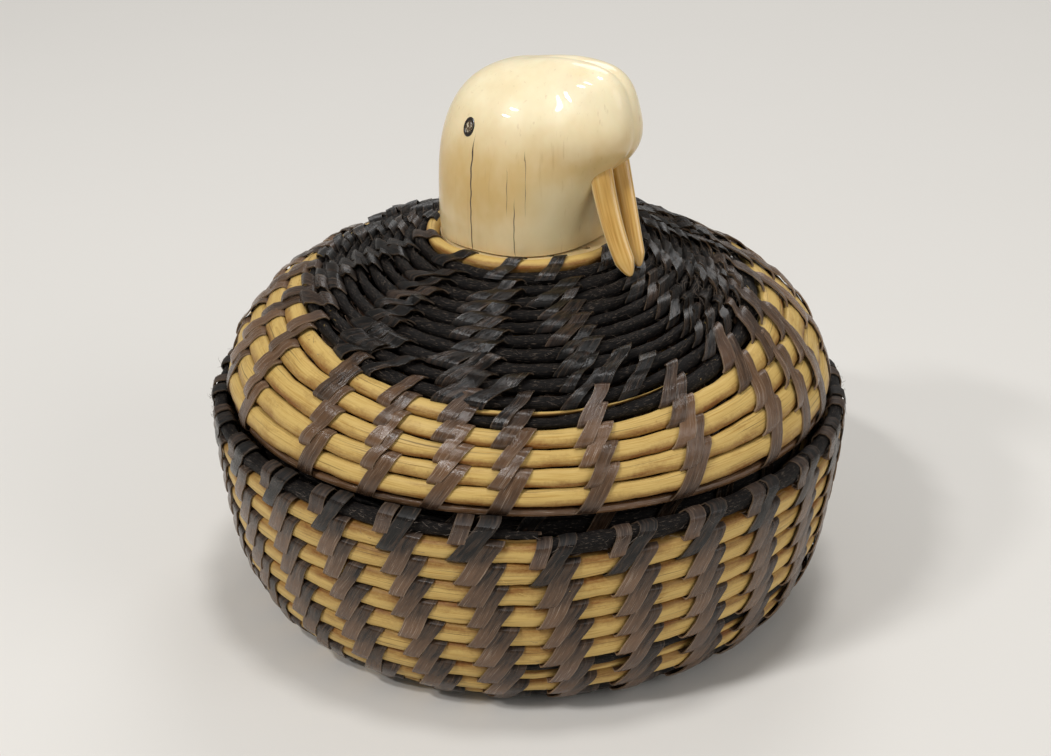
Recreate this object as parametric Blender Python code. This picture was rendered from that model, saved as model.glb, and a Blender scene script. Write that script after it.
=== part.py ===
"""Round coiled basket with a lifting lid and a carved walrus-head finial.

The walls and the lid are spirals of round rod, sewn side by side with flat strips that run
in slanting columns. Each spiral starts on an ivory disc. The origin is on the basket's
axis, on the surface that it stands on; +Z is up and -Y is the front.
"""

from math import ceil, cos, exp, floor, log, pi, radians, sin, tanh

import bmesh
import bpy
import numpy as np
from mathutils import Matrix, Vector

mm = 0.001
GAP = 0.3 * mm  # clearance between pieces that touch

# Basket: the rods' centre line runs out along the flat base, round the foot and up the wall
RIM_RADIUS = 48.4 * mm  # centre line at the top edge of the wall
RIM_HEIGHT = 35.6 * mm
WALL_LEAN = radians(8.6)
WALL_PULL = 15.1 * mm  # how far the wall stays straight
FOOT_RADIUS = 34.6 * mm  # where the base turns flat
FOOT_PULL = 12.6 * mm  # how far the base stays flat beyond it
BASKET_ROD_DEPTH = 3.0 * mm
BASKET_TURNS = 17
BASE_DISC_RADIUS = 12.6 * mm
BASE_DISC_THICKNESS = 2.6 * mm
BASE_LIFT = 0.05 * mm  # rods clear of the surface that the disc stands on
SPIRAL_SEAT = 0.4 * mm  # from a starting disc's edge to the first turn

# Lid: the centre line runs out from the finial and down to the edge
LID_RISE = 23.4 * mm  # crest above the top of the wall
LID_CREST_SLOPE = radians(28.0)
LID_CREST_PULL = 9.6 * mm
LID_EDGE_DROP = 0.1 * mm  # lid edge above the top of the wall
LID_EDGE_INSET = 0.9 * mm  # lid edge inside the mouth
LID_EDGE_SLOPE = radians(80.4)
LID_EDGE_PULL = 16.7 * mm
LID_ROD_DEPTH = 2.2 * mm
LID_TURNS = 16
LID_DISC_RADIUS = 13.5 * mm
LID_DISC_THICKNESS = 2.2 * mm
DISC_PROUD = 0.1 * mm  # disc top above the first turn's centre line

# The lid's rows aren't level: away from the front, and more to the right than to the left, the
# inner rows crowd towards the finial and the outer ones spread
LEAN_ROWS = 4.05  # the most that a row moves
LEAN_TO_RIGHT = 0.167
LEAN_SPREAD = 1.222  # how soon it sets in
LEAN_CREST_ROW = 11.0  # row that moves most
LEAN_SOFTNESS = 0.06

# Band under the lid's edge, and the flange that drops inside the mouth
BAND_HEIGHT = 1.0 * mm
BAND_THICKNESS = 1.1 * mm
BAND_INSET = 0.4 * mm
FLANGE_CLEARANCE = 2.8 * mm  # between the flange and the mouth
FLANGE_TOP = 1.8 * mm  # flange top above the top of the wall
FLANGE_TURNS = 3

# How the spirals step up: a share of each turn's rise comes early, so that rows look level
BASKET_START = radians(-88.5)
BASKET_STEP_SHARE = 0.65
LID_START = radians(90)
LID_STEP_SHARE = 0.85
STEP_DECAY = 0.05  # turns

# Spliced lengths of rod, in turns from the starting disc
BASKET_LENGTHS = [
    ("base_coil", 0.12, 7.55, "dark_rod"),
    ("lower_light_splice", 7.55, 7.98, "light_rod"),
    ("lower_dark_splice", 7.98, 8.4, "dark_rod"),
    ("lower_wall_coil", 8.4, 9.98, "light_rod"),
    ("upper_dark_splice", 9.98, 10.4, "dark_rod"),
    ("upper_wall_coil", 10.4, 16.0, "light_rod"),
    ("rim_coil", 16.0, 17.0, "dark_rod"),
]
LID_LENGTHS = [
    ("lid_start_coil", 0.12, 1.0, "light_rod"),
    ("lid_dark_coil", 1.0, 11.54, "dark_rod"),
    ("lid_light_coil", 11.54, 16.0, "light_rod"),
]
END_TAPER = 0.08  # turns over which a spiral's last rod thins out
END_THICKNESS = 0.35

# Flat sewing strips
STRIP_WIDTH = 2.4 * mm
STRIP_THICKNESS = 0.3 * mm
WALL_COLUMNS = 28
WALL_COLUMN_START = radians(-86.5)
WALL_COLUMN_DRIFT = radians(-0.6)  # per row upwards
WALL_STRIP_TOP = 0.35  # rows below the top of the wall
WALL_STRIP_ROWS = 1.0  # rows between points
LID_COLUMNS = 12
LID_COLUMN_START = radians(-78)
LID_STRIP_INNER = 0.35  # rows from the lid disc
LID_STRIP_OUTER = 0.2  # rows short of the lid's edge
LID_STRIP_ROWS = 1.0
BRANCH_ROW = 6.5  # where a second column leaves the first
BRANCH_SPREAD_ROWS = 3.0
BRANCH_THINNING = 0.8  # keeps its faces off the first column's

# Finial
HEAD_YAW = radians(-36)  # way the head looks, from +X
HEAD_TOP_STEPS = 13
HEAD_ROUND_STEPS = 26
PEG_RADIUS = 2.4 * mm
PEG_LENGTH = 9.5 * mm
TUSK_RADIUS = 1.4 * mm
TUSK_THIN = 0.8  # of the radius, where the point starts
TUSK_TIP_RADIUS = 0.5 * mm
EYE_RADIUS = 1.25 * mm
EYE_DEPTH = 1.0 * mm

# Stitch holes through the starting discs
DISC_HOLES = 12
DISC_HOLE_RADIUS = 0.65 * mm
DISC_HOLE_EDGE = 1.5 * mm  # hole centre inside the disc's edge

STEPS = 24  # facets of a turn
SIDES = 6
DISC_FACETS = 48
PEG_FACETS = 24
EYE_FACETS = 12
SHARP_EDGE = radians(50)

# Ellipsoid-like masses of the head: centre and half-sizes forward, sideways and up, in
# millimetres from the middle of its base, then how square it is upright and in plan
HEAD_MASSES = [
    ((-0.45, 0.0, 6.5), (12.05, 13.2, 18.9), 2.67, 2.42),  # skull and neck
    ((7.0, 0.0, 17.4), (9.65, 7.6, 6.2), 2.0, 2.6),  # bridge of the nose
    ((10.7, 1.65, 20.3), (5.55, 3.0, 5.65), 2.57, 2.17),  # whisker pads
    ((6.0, 2.8, 12.5), (7.3, 5.25, 7.85), 2.35, 2.1),  # cheeks
    ((8.85, 0.0, 20.5), (6.7, 2.65, 4.8), 2.7, 2.5),  # between the pads
]
HEAD_BLEND = 1.2
HEAD_HEART = (3.0, 0.0, 13.0)  # a point that sees the whole surface
HEAD_REACH = 40.0
HEAD_HALVINGS = 40  # of the search along each ray
SLOPE_STEP = 0.05

# Root, pull of the bend, and tip of each tusk's centre line, measured as the masses are,
# but with each tip's height taken from the lid's rods below it
TUSKS = {
    "left_tusk": ((13.7, 2.2, 17.0), (17.9, 0.5, 4.8), (20.8, -1.4, 1.6)),
    "right_tusk": ((13.5, -2.2, 17.0), (15.9, -3.0, 5.0), (21.3, -4.4, 1.95)),
}
TUSK_STEPS = 6
TUSK_SOCKET_STEPS = 3  # as many steps as stay in the head
EYE_FORWARD = -3.0
EYE_UP = 18.9

MATERIALS = {
    "light_rod": ((0.52, 0.34, 0.11), 0.45),
    "dark_rod": ((0.020, 0.018, 0.018), 0.5),
    "sewing_strip": ((0.075, 0.058, 0.048), 0.35),
    "ivory": ((0.80, 0.68, 0.45), 0.22),
    "tusk_ivory": ((0.56, 0.36, 0.12), 0.25),
}


def clear_scene():
    for obj in list(bpy.data.objects):
        bpy.data.objects.remove(obj, do_unlink=True)


def material(name):
    found = bpy.data.materials.get(name)
    if found:
        return found
    colour, roughness = MATERIALS[name]
    made = bpy.data.materials.new(name)
    made.use_nodes = True
    shader = made.node_tree.nodes["Principled BSDF"]
    shader.inputs["Base Color"].default_value = (*colour, 1)
    shader.inputs["Roughness"].default_value = roughness
    shader.inputs["Metallic"].default_value = 0
    return made


def add_object(name, mesh, finish, parent):
    obj = bpy.data.objects.new(name, mesh)
    mesh.materials.clear()
    mesh.materials.append(material(finish))
    bpy.context.scene.collection.objects.link(obj)
    obj.parent = parent
    return obj


def add_empty(name, height):
    obj = bpy.data.objects.new(name, None)
    obj.location = (0, 0, height)
    bpy.context.scene.collection.objects.link(obj)
    return obj


def hide_cutter(obj):
    obj.hide_render = True
    obj.display_type = "WIRE"


def cut(obj, cutter, operation="DIFFERENCE"):
    hide_cutter(cutter)
    modifier = obj.modifiers.new(operation.title(), "BOOLEAN")
    modifier.operation = operation
    modifier.object = cutter
    modifier.solver = "EXACT"


class Profile:
    """A centre line in the (radius, height) plane, measured in rows of rod along it."""

    def __init__(self, points, rows, outside, lean=None):
        steps = np.hypot(*np.diff(points, axis=0).T)
        self.points = points
        self.along = np.concatenate([[0], np.cumsum(steps)])
        self.row = self.along[-1] / rows
        self.rows = rows
        self.outside = outside  # +1 or -1: the side of the line that is the outer face
        self.lean = lean

    def place(self, row, offset=0.0):
        """(radius, height) this many rows along, moved out by the offset."""
        s = row * self.row
        at = np.array([np.interp(s, self.along, self.points[:, i]) for i in (0, 1)])
        tangent = self.tangent(row)
        past = s - np.clip(s, 0, self.along[-1])
        normal = self.outside * np.array([-tangent[1], tangent[0]])
        return at + tangent * past + normal * offset

    def leaned(self, row, angle):
        """Where along the profile a row lies at this angle round the axis, in level rows."""
        return row - self.lean(row, angle) if self.lean else row

    def tangent(self, row):
        s = np.clip(row * self.row, 0, self.along[-1])
        i = min(max(int(np.searchsorted(self.along, s)), 1), len(self.points) - 1)
        step = self.points[i] - self.points[i - 1]
        return step / np.hypot(*step)


def cubic(start, start_handle, end_handle, end, count=300):
    t = np.linspace(0, 1, count)[:, None]
    corners = [np.array(p) for p in (start, start_handle, end_handle, end)]
    weights = [(1 - t) ** 3, 3 * (1 - t) ** 2 * t, 3 * (1 - t) * t**2, t**3]
    return sum(w * p for w, p in zip(weights, corners))


def basket_profile():
    base_height = BASKET_ROD_DEPTH / 2 + BASE_LIFT
    start = (BASE_DISC_RADIUS + SPIRAL_SEAT, base_height)
    foot = (FOOT_RADIUS, base_height)
    foot_handle = (FOOT_RADIUS + FOOT_PULL, base_height)
    rim_handle = (
        RIM_RADIUS - WALL_PULL * sin(WALL_LEAN),
        RIM_HEIGHT - WALL_PULL * cos(WALL_LEAN),
    )
    wall = cubic(foot, foot_handle, rim_handle, (RIM_RADIUS, RIM_HEIGHT))
    return Profile(np.vstack([start, wall]), BASKET_TURNS, -1)


def mouth_radius():
    return RIM_RADIUS - BASKET_ROD_DEPTH / 2


def lid_lean(row, angle):
    """Rows that a row lies nearer to the finial here; a soft minimum of two straight slopes."""
    inner = row / LEAN_CREST_ROW
    outer = (LID_TURNS - row) / (LID_TURNS - LEAN_CREST_ROW)
    share = -LEAN_SOFTNESS * log(exp(-inner / LEAN_SOFTNESS) + exp(-outer / LEAN_SOFTNESS))
    reach = tanh(LEAN_SPREAD * (1 + sin(angle))) * (1 + LEAN_TO_RIGHT * cos(angle))
    return LEAN_ROWS * reach * max(share, 0)


def lid_profile():
    start = (LID_DISC_RADIUS + SPIRAL_SEAT, RIM_HEIGHT + LID_RISE)
    crest_handle = (
        start[0] + LID_CREST_PULL * cos(LID_CREST_SLOPE),
        start[1] - LID_CREST_PULL * sin(LID_CREST_SLOPE),
    )
    end = (mouth_radius() - LID_EDGE_INSET, RIM_HEIGHT + LID_EDGE_DROP)
    edge_handle = (
        end[0] - LID_EDGE_PULL * cos(LID_EDGE_SLOPE),
        end[1] + LID_EDGE_PULL * sin(LID_EDGE_SLOPE),
    )
    return Profile(cubic(start, crest_handle, edge_handle, end), LID_TURNS, 1, lid_lean)


def flange_profile(row):
    radius = mouth_radius() - FLANGE_CLEARANCE - LID_ROD_DEPTH / 2
    top = RIM_HEIGHT + FLANGE_TOP
    line = np.array([(radius, top), (radius, top - FLANGE_TURNS * row)])
    return Profile(line, FLANGE_TURNS, 1)


def rows_climbed(turns, step_share):
    """Rows from the start of the spiral to a rod's outer edge after so many turns."""
    if turns <= 0:
        return 0.0
    whole = floor(turns)
    part = turns - whole
    early = step_share * (1 - np.exp(-part / STEP_DECAY))
    return whole + early + (1 - step_share) * part


def world(radius, angle, height):
    return (radius * cos(angle), radius * sin(angle), height)


def swept_mesh(name, rings):
    """A closed solid through rings of points, with flat ends, faces outwards."""
    sides = len(rings[0])
    points = [p for ring in rings for p in ring]
    faces = []
    for i in range(len(rings) - 1):
        for j in range(sides):
            k = (j + 1) % sides
            low, high = i * sides, (i + 1) * sides
            faces.append((low + j, low + k, high + k, high + j))
    faces.append(tuple(range(sides)))
    faces.append(tuple(range((len(rings) - 1) * sides, len(rings) * sides)))
    mesh = bpy.data.meshes.new(name)
    mesh.from_pydata(points, [], faces)
    shaped = bmesh.new()
    shaped.from_mesh(mesh)
    bmesh.ops.recalc_face_normals(shaped, faces=shaped.faces)
    shaped.to_mesh(mesh)
    shaped.free()
    mesh.shade_smooth()
    mesh.set_sharp_from_angle(angle=SHARP_EDGE)
    return mesh


def coil(name, profile, start, end, depth, finish, parent, spin, first, share):
    """One spliced length of rod, wound along the profile from start to end, in turns.

    A rod's inner edge follows the outer edge of the turn before it, so the first turn grows
    from nothing beside the disc, as a tapered end does.
    """
    mean_radius = profile.place(rows_climbed((start + end) / 2, share))[0]
    end_room = GAP / 2 / (2 * pi * mean_radius)
    shortest = 0.25 / STEPS
    rings = []
    turns_list = [start + end_room, end - end_room]
    for k in range(ceil(start * STEPS), floor(end * STEPS) + 1):
        if start + end_room + shortest < k / STEPS < end - end_room - shortest:
            turns_list.insert(-1, k / STEPS)
    for turns in turns_list:
        angle = first + spin * 2 * pi * turns
        low = profile.leaned(rows_climbed(turns - 1, share), angle)
        high = profile.leaned(rows_climbed(turns, share), angle)
        left = profile.rows - turns
        thin = 1 - (1 - END_THICKNESS) * max(0, 1 - left / END_TAPER)
        half_along = ((high - low) * profile.row - GAP) / 2 * thin
        half_depth = depth / 2 * thin
        middle = low + (half_along + GAP / 2) / profile.row
        tangent = profile.tangent(middle)
        ring = []
        for j in range(SIDES):
            turn = 2 * pi * j / SIDES
            out = half_depth * sin(turn) / sin(pi / 3)
            radius, height = profile.place(middle, out) + tangent * half_along * cos(turn)
            ring.append(world(radius, angle, height))
        rings.append(ring)
    add_object(name, swept_mesh(name, rings), finish, parent)


def strip_mesh(name, profile, depth, rows, angle_at, thickness=STRIP_THICKNESS):
    """A flat strip over the rods' outer faces; angle_at gives its place round the axis."""
    middle = depth / 2 + GAP + STRIP_THICKNESS / 2
    rings = []
    for row in rows:
        angle = angle_at(row)
        around = np.array([-sin(angle), cos(angle), 0]) * STRIP_WIDTH / 2
        ring = []
        for side, out in ((-1, -1), (1, -1), (1, 1), (-1, 1)):
            place = profile.place(profile.leaned(row, angle), middle + out * thickness / 2)
            point = np.array(world(place[0], angle, place[1])) + side * around
            ring.append(tuple(point))
        rings.append(ring)
    return swept_mesh(name, rings)


def strip_rows(low, high, spacing):
    return np.linspace(low, high, ceil((high - low) / spacing) + 1)


def wall_strip_foot(profile):
    """The lowest row that a strip can reach and still clear the standing surface."""
    reach = BASKET_ROD_DEPTH / 2 + GAP + STRIP_THICKNESS
    row = float(BASKET_TURNS)
    while row > 0 and profile.place(row, reach)[1] > GAP:
        row -= 0.05
    return row + 0.05


def wall_stitches(profile, parent):
    rows = strip_rows(
        wall_strip_foot(profile), BASKET_TURNS - WALL_STRIP_TOP, WALL_STRIP_ROWS
    )
    for column in range(WALL_COLUMNS):
        start = WALL_COLUMN_START + 2 * pi * column / WALL_COLUMNS
        top = rows[-1]
        mesh = strip_mesh(
            f"wall_stitches_{column + 1:02d}",
            profile,
            BASKET_ROD_DEPTH,
            rows,
            lambda row: start + WALL_COLUMN_DRIFT * (row - top),
        )
        add_object(mesh.name, mesh, "sewing_strip", parent)


def lid_stitches(profile, parent):
    """Each column runs from the disc to the edge, and a second one leaves it part way."""
    spacing = 2 * pi / LID_COLUMNS
    outer = LID_TURNS - LID_STRIP_OUTER
    for column in range(LID_COLUMNS):
        start = LID_COLUMN_START + spacing * column
        name = f"lid_stitches_{column + 1:02d}"
        main_rows = strip_rows(LID_STRIP_INNER, outer, LID_STRIP_ROWS)
        main = strip_mesh(name, profile, LID_ROD_DEPTH, main_rows, lambda row: start)
        obj = add_object(name, main, "sewing_strip", parent)
        branch = strip_mesh(
            name + "_branch",
            profile,
            LID_ROD_DEPTH,
            strip_rows(BRANCH_ROW, outer, LID_STRIP_ROWS),
            lambda row: start
            + spacing / 2 * min(1, (row - BRANCH_ROW) / BRANCH_SPREAD_ROWS),
            thickness=STRIP_THICKNESS * BRANCH_THINNING,
        )
        branch_obj = add_object(branch.name, branch, "sewing_strip", parent)
        cut(obj, branch_obj, "UNION")


def turned_band(name, profile, parent):
    """The flat band that closes the lid's edge from below."""
    low = LID_TURNS + GAP / 2 / profile.row
    high = low + BAND_HEIGHT / profile.row
    corners = [
        profile.place(row, out - BAND_INSET)
        for row, out in (
            (low, BAND_THICKNESS / 2),
            (high, BAND_THICKNESS / 2),
            (high, -BAND_THICKNESS / 2),
            (low, -BAND_THICKNESS / 2),
        )
    ]
    end_room = GAP / (2 * pi * corners[0][0])
    turns = np.linspace(end_room / 2, 1 - end_room / 2, STEPS + 1)
    rings = [
        [world(r, LID_START - 2 * pi * t, z) for r, z in corners] for t in turns
    ]
    add_object(name, swept_mesh(name, rings), "sewing_strip", parent)


def cylinder(name, radius, low, high, facets, finish, parent, place=(0, 0)):
    mesh = bpy.data.meshes.new(name)
    shaped = bmesh.new()
    bmesh.ops.create_cone(
        shaped,
        cap_ends=True,
        segments=facets,
        radius1=radius,
        radius2=radius,
        depth=high - low,
        matrix=Matrix.Translation((*place, (low + high) / 2)),
    )
    shaped.to_mesh(mesh)
    shaped.free()
    mesh.shade_smooth()
    mesh.set_sharp_from_angle(angle=SHARP_EDGE)
    return add_object(name, mesh, finish, parent)


def disc(name, radius, low, high, parent, bore=0.0):
    obj = cylinder(name, radius, low, high, DISC_FACETS, "ivory", parent)
    through = high - low
    for k in range(DISC_HOLES):
        angle = 2 * pi * (k + 0.5) / DISC_HOLES
        ring = radius - DISC_HOLE_EDGE
        hole = cylinder(
            f"{name}_hole_{k}",
            DISC_HOLE_RADIUS,
            low - through,
            high + through,
            SIDES,
            "ivory",
            parent,
            (ring * cos(angle), ring * sin(angle)),
        )
        cut(obj, hole)
    if bore:
        cutter = cylinder(
            name + "_bore", bore, low - through, high + through, PEG_FACETS, "ivory", parent
        )
        cut(obj, cutter)
    return obj


def head_field(points):
    """Below zero inside the head; the masses run together over the blend distance."""
    total = 0
    for centre, half, square_up, square_plan in HEAD_MASSES:
        away = np.abs(points - np.array([centre[0], 0, centre[2]]))
        away[..., 1] = np.abs(np.abs(points[..., 1]) - centre[1])
        away = away / np.array(half)
        plan = (away[..., 0] ** square_plan + away[..., 1] ** square_plan) ** (1 / square_plan)
        size = (plan**square_up + away[..., 2] ** square_up) ** (1 / square_up)
        total = total + np.exp(-np.clip((size - 1) * min(half), -50, 50) / HEAD_BLEND)
    return -HEAD_BLEND * np.log(total)


def reach_in_head(start, directions):
    """How far rays run from a point inside the head to its surface, by halving."""
    near = np.zeros(len(directions))
    far = np.full(len(directions), HEAD_REACH)
    for _ in range(HEAD_HALVINGS):
        middle = (near + far) / 2
        inside = head_field(start + directions * middle[:, None]) < 0
        near = np.where(inside, middle, near)
        far = np.where(inside, far, middle)
    return near


def head_surface(directions):
    """Where rays from the head's heart leave it, cut off at the flat base."""
    heart = np.array(HEAD_HEART)
    falling = np.maximum(-directions[:, 2], 1e-9)
    reach = np.minimum(reach_in_head(heart, directions), heart[2] / falling)
    return heart + directions * reach[:, None]


def base_outline(around):
    """The outline of the head where it meets its flat base."""
    directions = np.stack([np.cos(around), np.sin(around), 0 * around], -1)
    return directions * reach_in_head(np.zeros(3), directions)[:, None]


def head_to_world(point, base):
    """Turns a point of the head, in millimetres, into world metres."""
    turned = Matrix.Rotation(HEAD_YAW, 3, "Z") @ Vector(point)
    return turned * mm + Vector((0, 0, base))


def walrus_head(base, parent):
    name = "walrus_head"
    around = np.linspace(0, 2 * pi, HEAD_ROUND_STEPS, endpoint=False)
    brow = np.linspace(pi / 2, 0, HEAD_TOP_STEPS)[1:]
    # rays down to the base's edge, whose last ring is its outline and so a clean edge
    edge_tilt = np.arctan2(HEAD_HEART[2], HEAD_MASSES[0][1][0])
    jaw = -np.linspace(0, edge_tilt, HEAD_TOP_STEPS // 2)[1:]
    rings = []
    for tilt in [*brow, *jaw]:
        ray = np.stack(
            [cos(tilt) * np.cos(around), cos(tilt) * np.sin(around), 0 * around + sin(tilt)], -1
        )
        rings.append(head_surface(ray))
    rings.append(base_outline(around))
    crown = head_surface(np.array([[0.0, 0.0, 1.0]]))[0]
    points = [crown, *np.concatenate(rings)]
    shaped = bmesh.new()
    verts = [shaped.verts.new(head_to_world(p, base)) for p in points]
    count = len(around)
    for j in range(count):
        k = (j + 1) % count
        shaped.faces.new((verts[0], verts[1 + j], verts[1 + k]))
        for i in range(len(rings) - 1):
            low, high = 1 + i * count, 1 + (i + 1) * count
            shaped.faces.new((verts[low + j], verts[high + j], verts[high + k], verts[low + k]))
    shaped.faces.new([verts[1 + (len(rings) - 1) * count + j] for j in range(count)])
    bmesh.ops.recalc_face_normals(shaped, faces=shaped.faces)
    mesh = bpy.data.meshes.new(name)
    shaped.to_mesh(mesh)
    shaped.free()
    mesh.shade_smooth()
    mesh.set_sharp_from_angle(angle=SHARP_EDGE)
    return add_object(name, mesh, "ivory", parent)


def tapered_tube(name, path, radii, finish, parent):
    """A curve object with a round bevel whose radius follows the list."""
    curve = bpy.data.curves.new(name, "CURVE")
    curve.dimensions = "3D"
    curve.bevel_depth = 1.0
    curve.bevel_resolution = 2
    curve.use_fill_caps = True
    spline = curve.splines.new("POLY")
    spline.points.add(len(path) - 1)
    for point, place, radius in zip(spline.points, path, radii):
        point.co = (*place, 1)
        point.radius = radius
    obj = bpy.data.objects.new(name, curve)
    curve.materials.append(material(finish))
    bpy.context.scene.collection.objects.link(obj)
    obj.parent = parent
    return obj


def tusk(name, corners, base, profile, head, parent):
    """One tusk in its socket; the last short stretch rounds the tip."""
    root, pull, end = (np.array(corner) for corner in corners)
    lid_under_tip = np.interp(np.hypot(end[0], end[1]) * mm, *profile.points.T)
    end[2] += (lid_under_tip + LID_ROD_DEPTH / 2 - base) / mm
    t = np.linspace(0, 1, TUSK_STEPS + 1)[:, None]
    bend = (1 - t) ** 2 * root + 2 * (1 - t) * t * pull + t**2 * end
    path = [head_to_world(point, base) for point in bend]
    tip = path[-1] + (path[-1] - path[-2]).normalized() * TUSK_TIP_RADIUS
    radii = [*(TUSK_RADIUS * np.linspace(1, TUSK_THIN, len(path))), TUSK_TIP_RADIUS]
    made = tapered_tube(name, [*path, tip], radii, "tusk_ivory", parent)
    # the socket is a little wider and deeper, and runs out of the muzzle with the tusk
    run = path[0] - path[1]
    socket_path = [path[0] + run.normalized() * GAP, *path[1 : TUSK_SOCKET_STEPS + 1]]
    socket = tapered_tube(
        name + "_socket", socket_path, [TUSK_RADIUS + GAP] * len(socket_path), "ivory", parent
    )
    socket_mesh = bpy.data.meshes.new_from_object(socket)
    bpy.data.objects.remove(socket)
    weld(socket_mesh)
    cut(head, add_object(name + "_socket", socket_mesh, "ivory", parent))
    return made


def weld(mesh):
    shaped = bmesh.new()
    shaped.from_mesh(mesh)
    bmesh.ops.remove_doubles(shaped, verts=shaped.verts, dist=GAP / 100)
    bmesh.ops.recalc_face_normals(shaped, faces=shaped.faces)
    shaped.to_mesh(mesh)
    shaped.free()


def eye(name, side, base, head, parent):
    """A round inlay, flush with the side of the head, in a flat-bottomed socket."""
    aim = np.array([EYE_FORWARD, side * HEAD_MASSES[0][1][1], EYE_UP]) - np.array(HEAD_HEART)
    aim /= np.linalg.norm(aim)
    surface = head_surface(aim[None, :])[0]
    steps = np.eye(3) * SLOPE_STEP
    slope = head_field(surface + steps) - head_field(surface - steps)
    normal = Matrix.Rotation(HEAD_YAW, 3, "Z") @ Vector(slope).normalized()
    place = head_to_world(surface, base)
    turn = normal.to_track_quat("Z", "Y").to_matrix().to_4x4()

    def plug(plug_name, radius, low, high):
        mesh = bpy.data.meshes.new(plug_name)
        shaped = bmesh.new()
        bmesh.ops.create_cone(
            shaped,
            cap_ends=True,
            segments=EYE_FACETS,
            radius1=radius,
            radius2=radius,
            depth=high - low,
            matrix=Matrix.Translation(place) @ turn @ Matrix.Translation((0, 0, (low + high) / 2)),
        )
        shaped.to_mesh(mesh)
        shaped.free()
        return add_object(plug_name, mesh, "dark_rod", parent)

    plug(name, EYE_RADIUS, -EYE_DEPTH, 0)
    cut(head, plug(name + "_socket", EYE_RADIUS + GAP, -EYE_DEPTH - GAP, EYE_DEPTH))


def finial(disc_low, disc_top, profile, parent):
    base = disc_top + GAP
    head = walrus_head(base, parent)
    peg_top = disc_low + PEG_LENGTH
    cylinder("finial_peg", PEG_RADIUS, disc_low, peg_top, PEG_FACETS, "ivory", parent)
    bore = PEG_RADIUS + GAP
    socket = cylinder(
        "peg_socket", bore, base - PEG_LENGTH, peg_top + GAP, PEG_FACETS, "ivory", parent
    )
    cut(head, socket)
    for name, corners in TUSKS.items():
        tusk(name, corners, base, profile, head, parent)
    eye("left_eye", 1, base, head, parent)
    eye("right_eye", -1, base, head, parent)


def build_basket():
    basket = add_empty("basket", 0)
    profile = basket_profile()
    disc("base_disc", BASE_DISC_RADIUS, 0, BASE_DISC_THICKNESS, basket)
    for name, start, end, finish in BASKET_LENGTHS:
        coil(
            name, profile, start, end, BASKET_ROD_DEPTH, finish, basket,
            1, BASKET_START, BASKET_STEP_SHARE,
        )
    wall_stitches(profile, basket)


def build_lid():
    lid = add_empty("lid", 0)
    profile = lid_profile()
    disc_top = RIM_HEIGHT + LID_RISE + DISC_PROUD
    disc_low = disc_top - LID_DISC_THICKNESS
    disc("lid_disc", LID_DISC_RADIUS, disc_low, disc_top, lid, PEG_RADIUS + GAP)
    for name, start, end, finish in LID_LENGTHS:
        coil(
            name, profile, start, end, LID_ROD_DEPTH, finish, lid,
            -1, LID_START, LID_STEP_SHARE,
        )
    turned_band("lid_rim_band", profile, lid)
    coil(
        "lid_flange_coil", flange_profile(profile.row), 0.12, FLANGE_TURNS, LID_ROD_DEPTH,
        "dark_rod", lid, -1, LID_START, LID_STEP_SHARE,
    )
    lid_stitches(profile, lid)
    finial(disc_low, disc_top, profile, lid)


clear_scene()
build_basket()
build_lid()
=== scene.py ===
import bpy
import numpy as np
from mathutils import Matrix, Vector


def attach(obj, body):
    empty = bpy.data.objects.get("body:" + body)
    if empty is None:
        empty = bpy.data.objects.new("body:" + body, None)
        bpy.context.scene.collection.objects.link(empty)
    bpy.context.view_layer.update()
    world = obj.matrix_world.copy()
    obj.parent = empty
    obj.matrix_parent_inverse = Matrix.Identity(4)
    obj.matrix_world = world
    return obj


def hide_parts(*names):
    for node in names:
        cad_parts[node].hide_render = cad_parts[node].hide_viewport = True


# Lidded basket of baleen rods sewn with flat baleen strips, with a carved ivory walrus head on
# the lid. Metres, in the CAD's own frame: +Z up, -Y to the front, the origin under the basket.

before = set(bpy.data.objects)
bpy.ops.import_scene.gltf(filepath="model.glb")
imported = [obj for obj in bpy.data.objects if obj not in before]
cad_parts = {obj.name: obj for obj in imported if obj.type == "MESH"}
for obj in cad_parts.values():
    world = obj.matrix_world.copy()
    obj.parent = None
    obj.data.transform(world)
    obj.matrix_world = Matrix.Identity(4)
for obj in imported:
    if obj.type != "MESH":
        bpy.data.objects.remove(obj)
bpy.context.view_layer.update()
mm = 0.001
fullTurn = 2 * np.pi
print("frame loaded,", len(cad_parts), "nodes")

# Spirals of rod

stepDecay = 0.05  # turns over which the early part of each row's climb fades
basketWork = {
    "rimRadius": 48.4 * mm,
    "rimHeight": 35.6 * mm,
    "wallLean": np.radians(8.6),
    "wallPull": 15.1 * mm,
    "footRadius": 34.6 * mm,
    "footPull": 12.6 * mm,
    "startRadius": 13.0 * mm,
    "baseHeight": 1.55 * mm,
    "turns": 17,
    "outside": -1,  # the side of the line, seen along it, that the basket's outside is on
    "spin": 1,  # way round the axis
    "firstAngle": np.radians(-88.5),
    "stepShare": 0.65,  # of each row's climb that comes early
    "depth": 3.0 * mm,  # of a rod, from inside to outside
    "tableLift": 0.4 * mm,  # raises the lowest rods, so that the strips under them clear the table
    "lean": None,
}
lidWork = {
    "start": (13.9 * mm, 59.0 * mm),
    "crestSlope": np.radians(28.0),
    "crestPull": 9.6 * mm,
    "end": (46.0 * mm, 35.7 * mm),
    "edgeSlope": np.radians(80.4),
    "edgePull": 16.7 * mm,
    "turns": 16,
    "outside": 1,
    "spin": -1,
    "firstAngle": np.radians(90),
    "stepShare": 0.85,
    "depth": 2.2 * mm,
    "tableLift": 0.0,
    "lean": {
        "rows": 4.05,  # the most that a row of the lid moves towards the finial
        "toRight": 0.167,  # more of it on the right than on the left
        "spread": 1.222,  # how soon it sets in, away from the front
        "crestRow": 11.0,  # row that moves most
        "softness": 0.06,
    },
}
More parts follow.
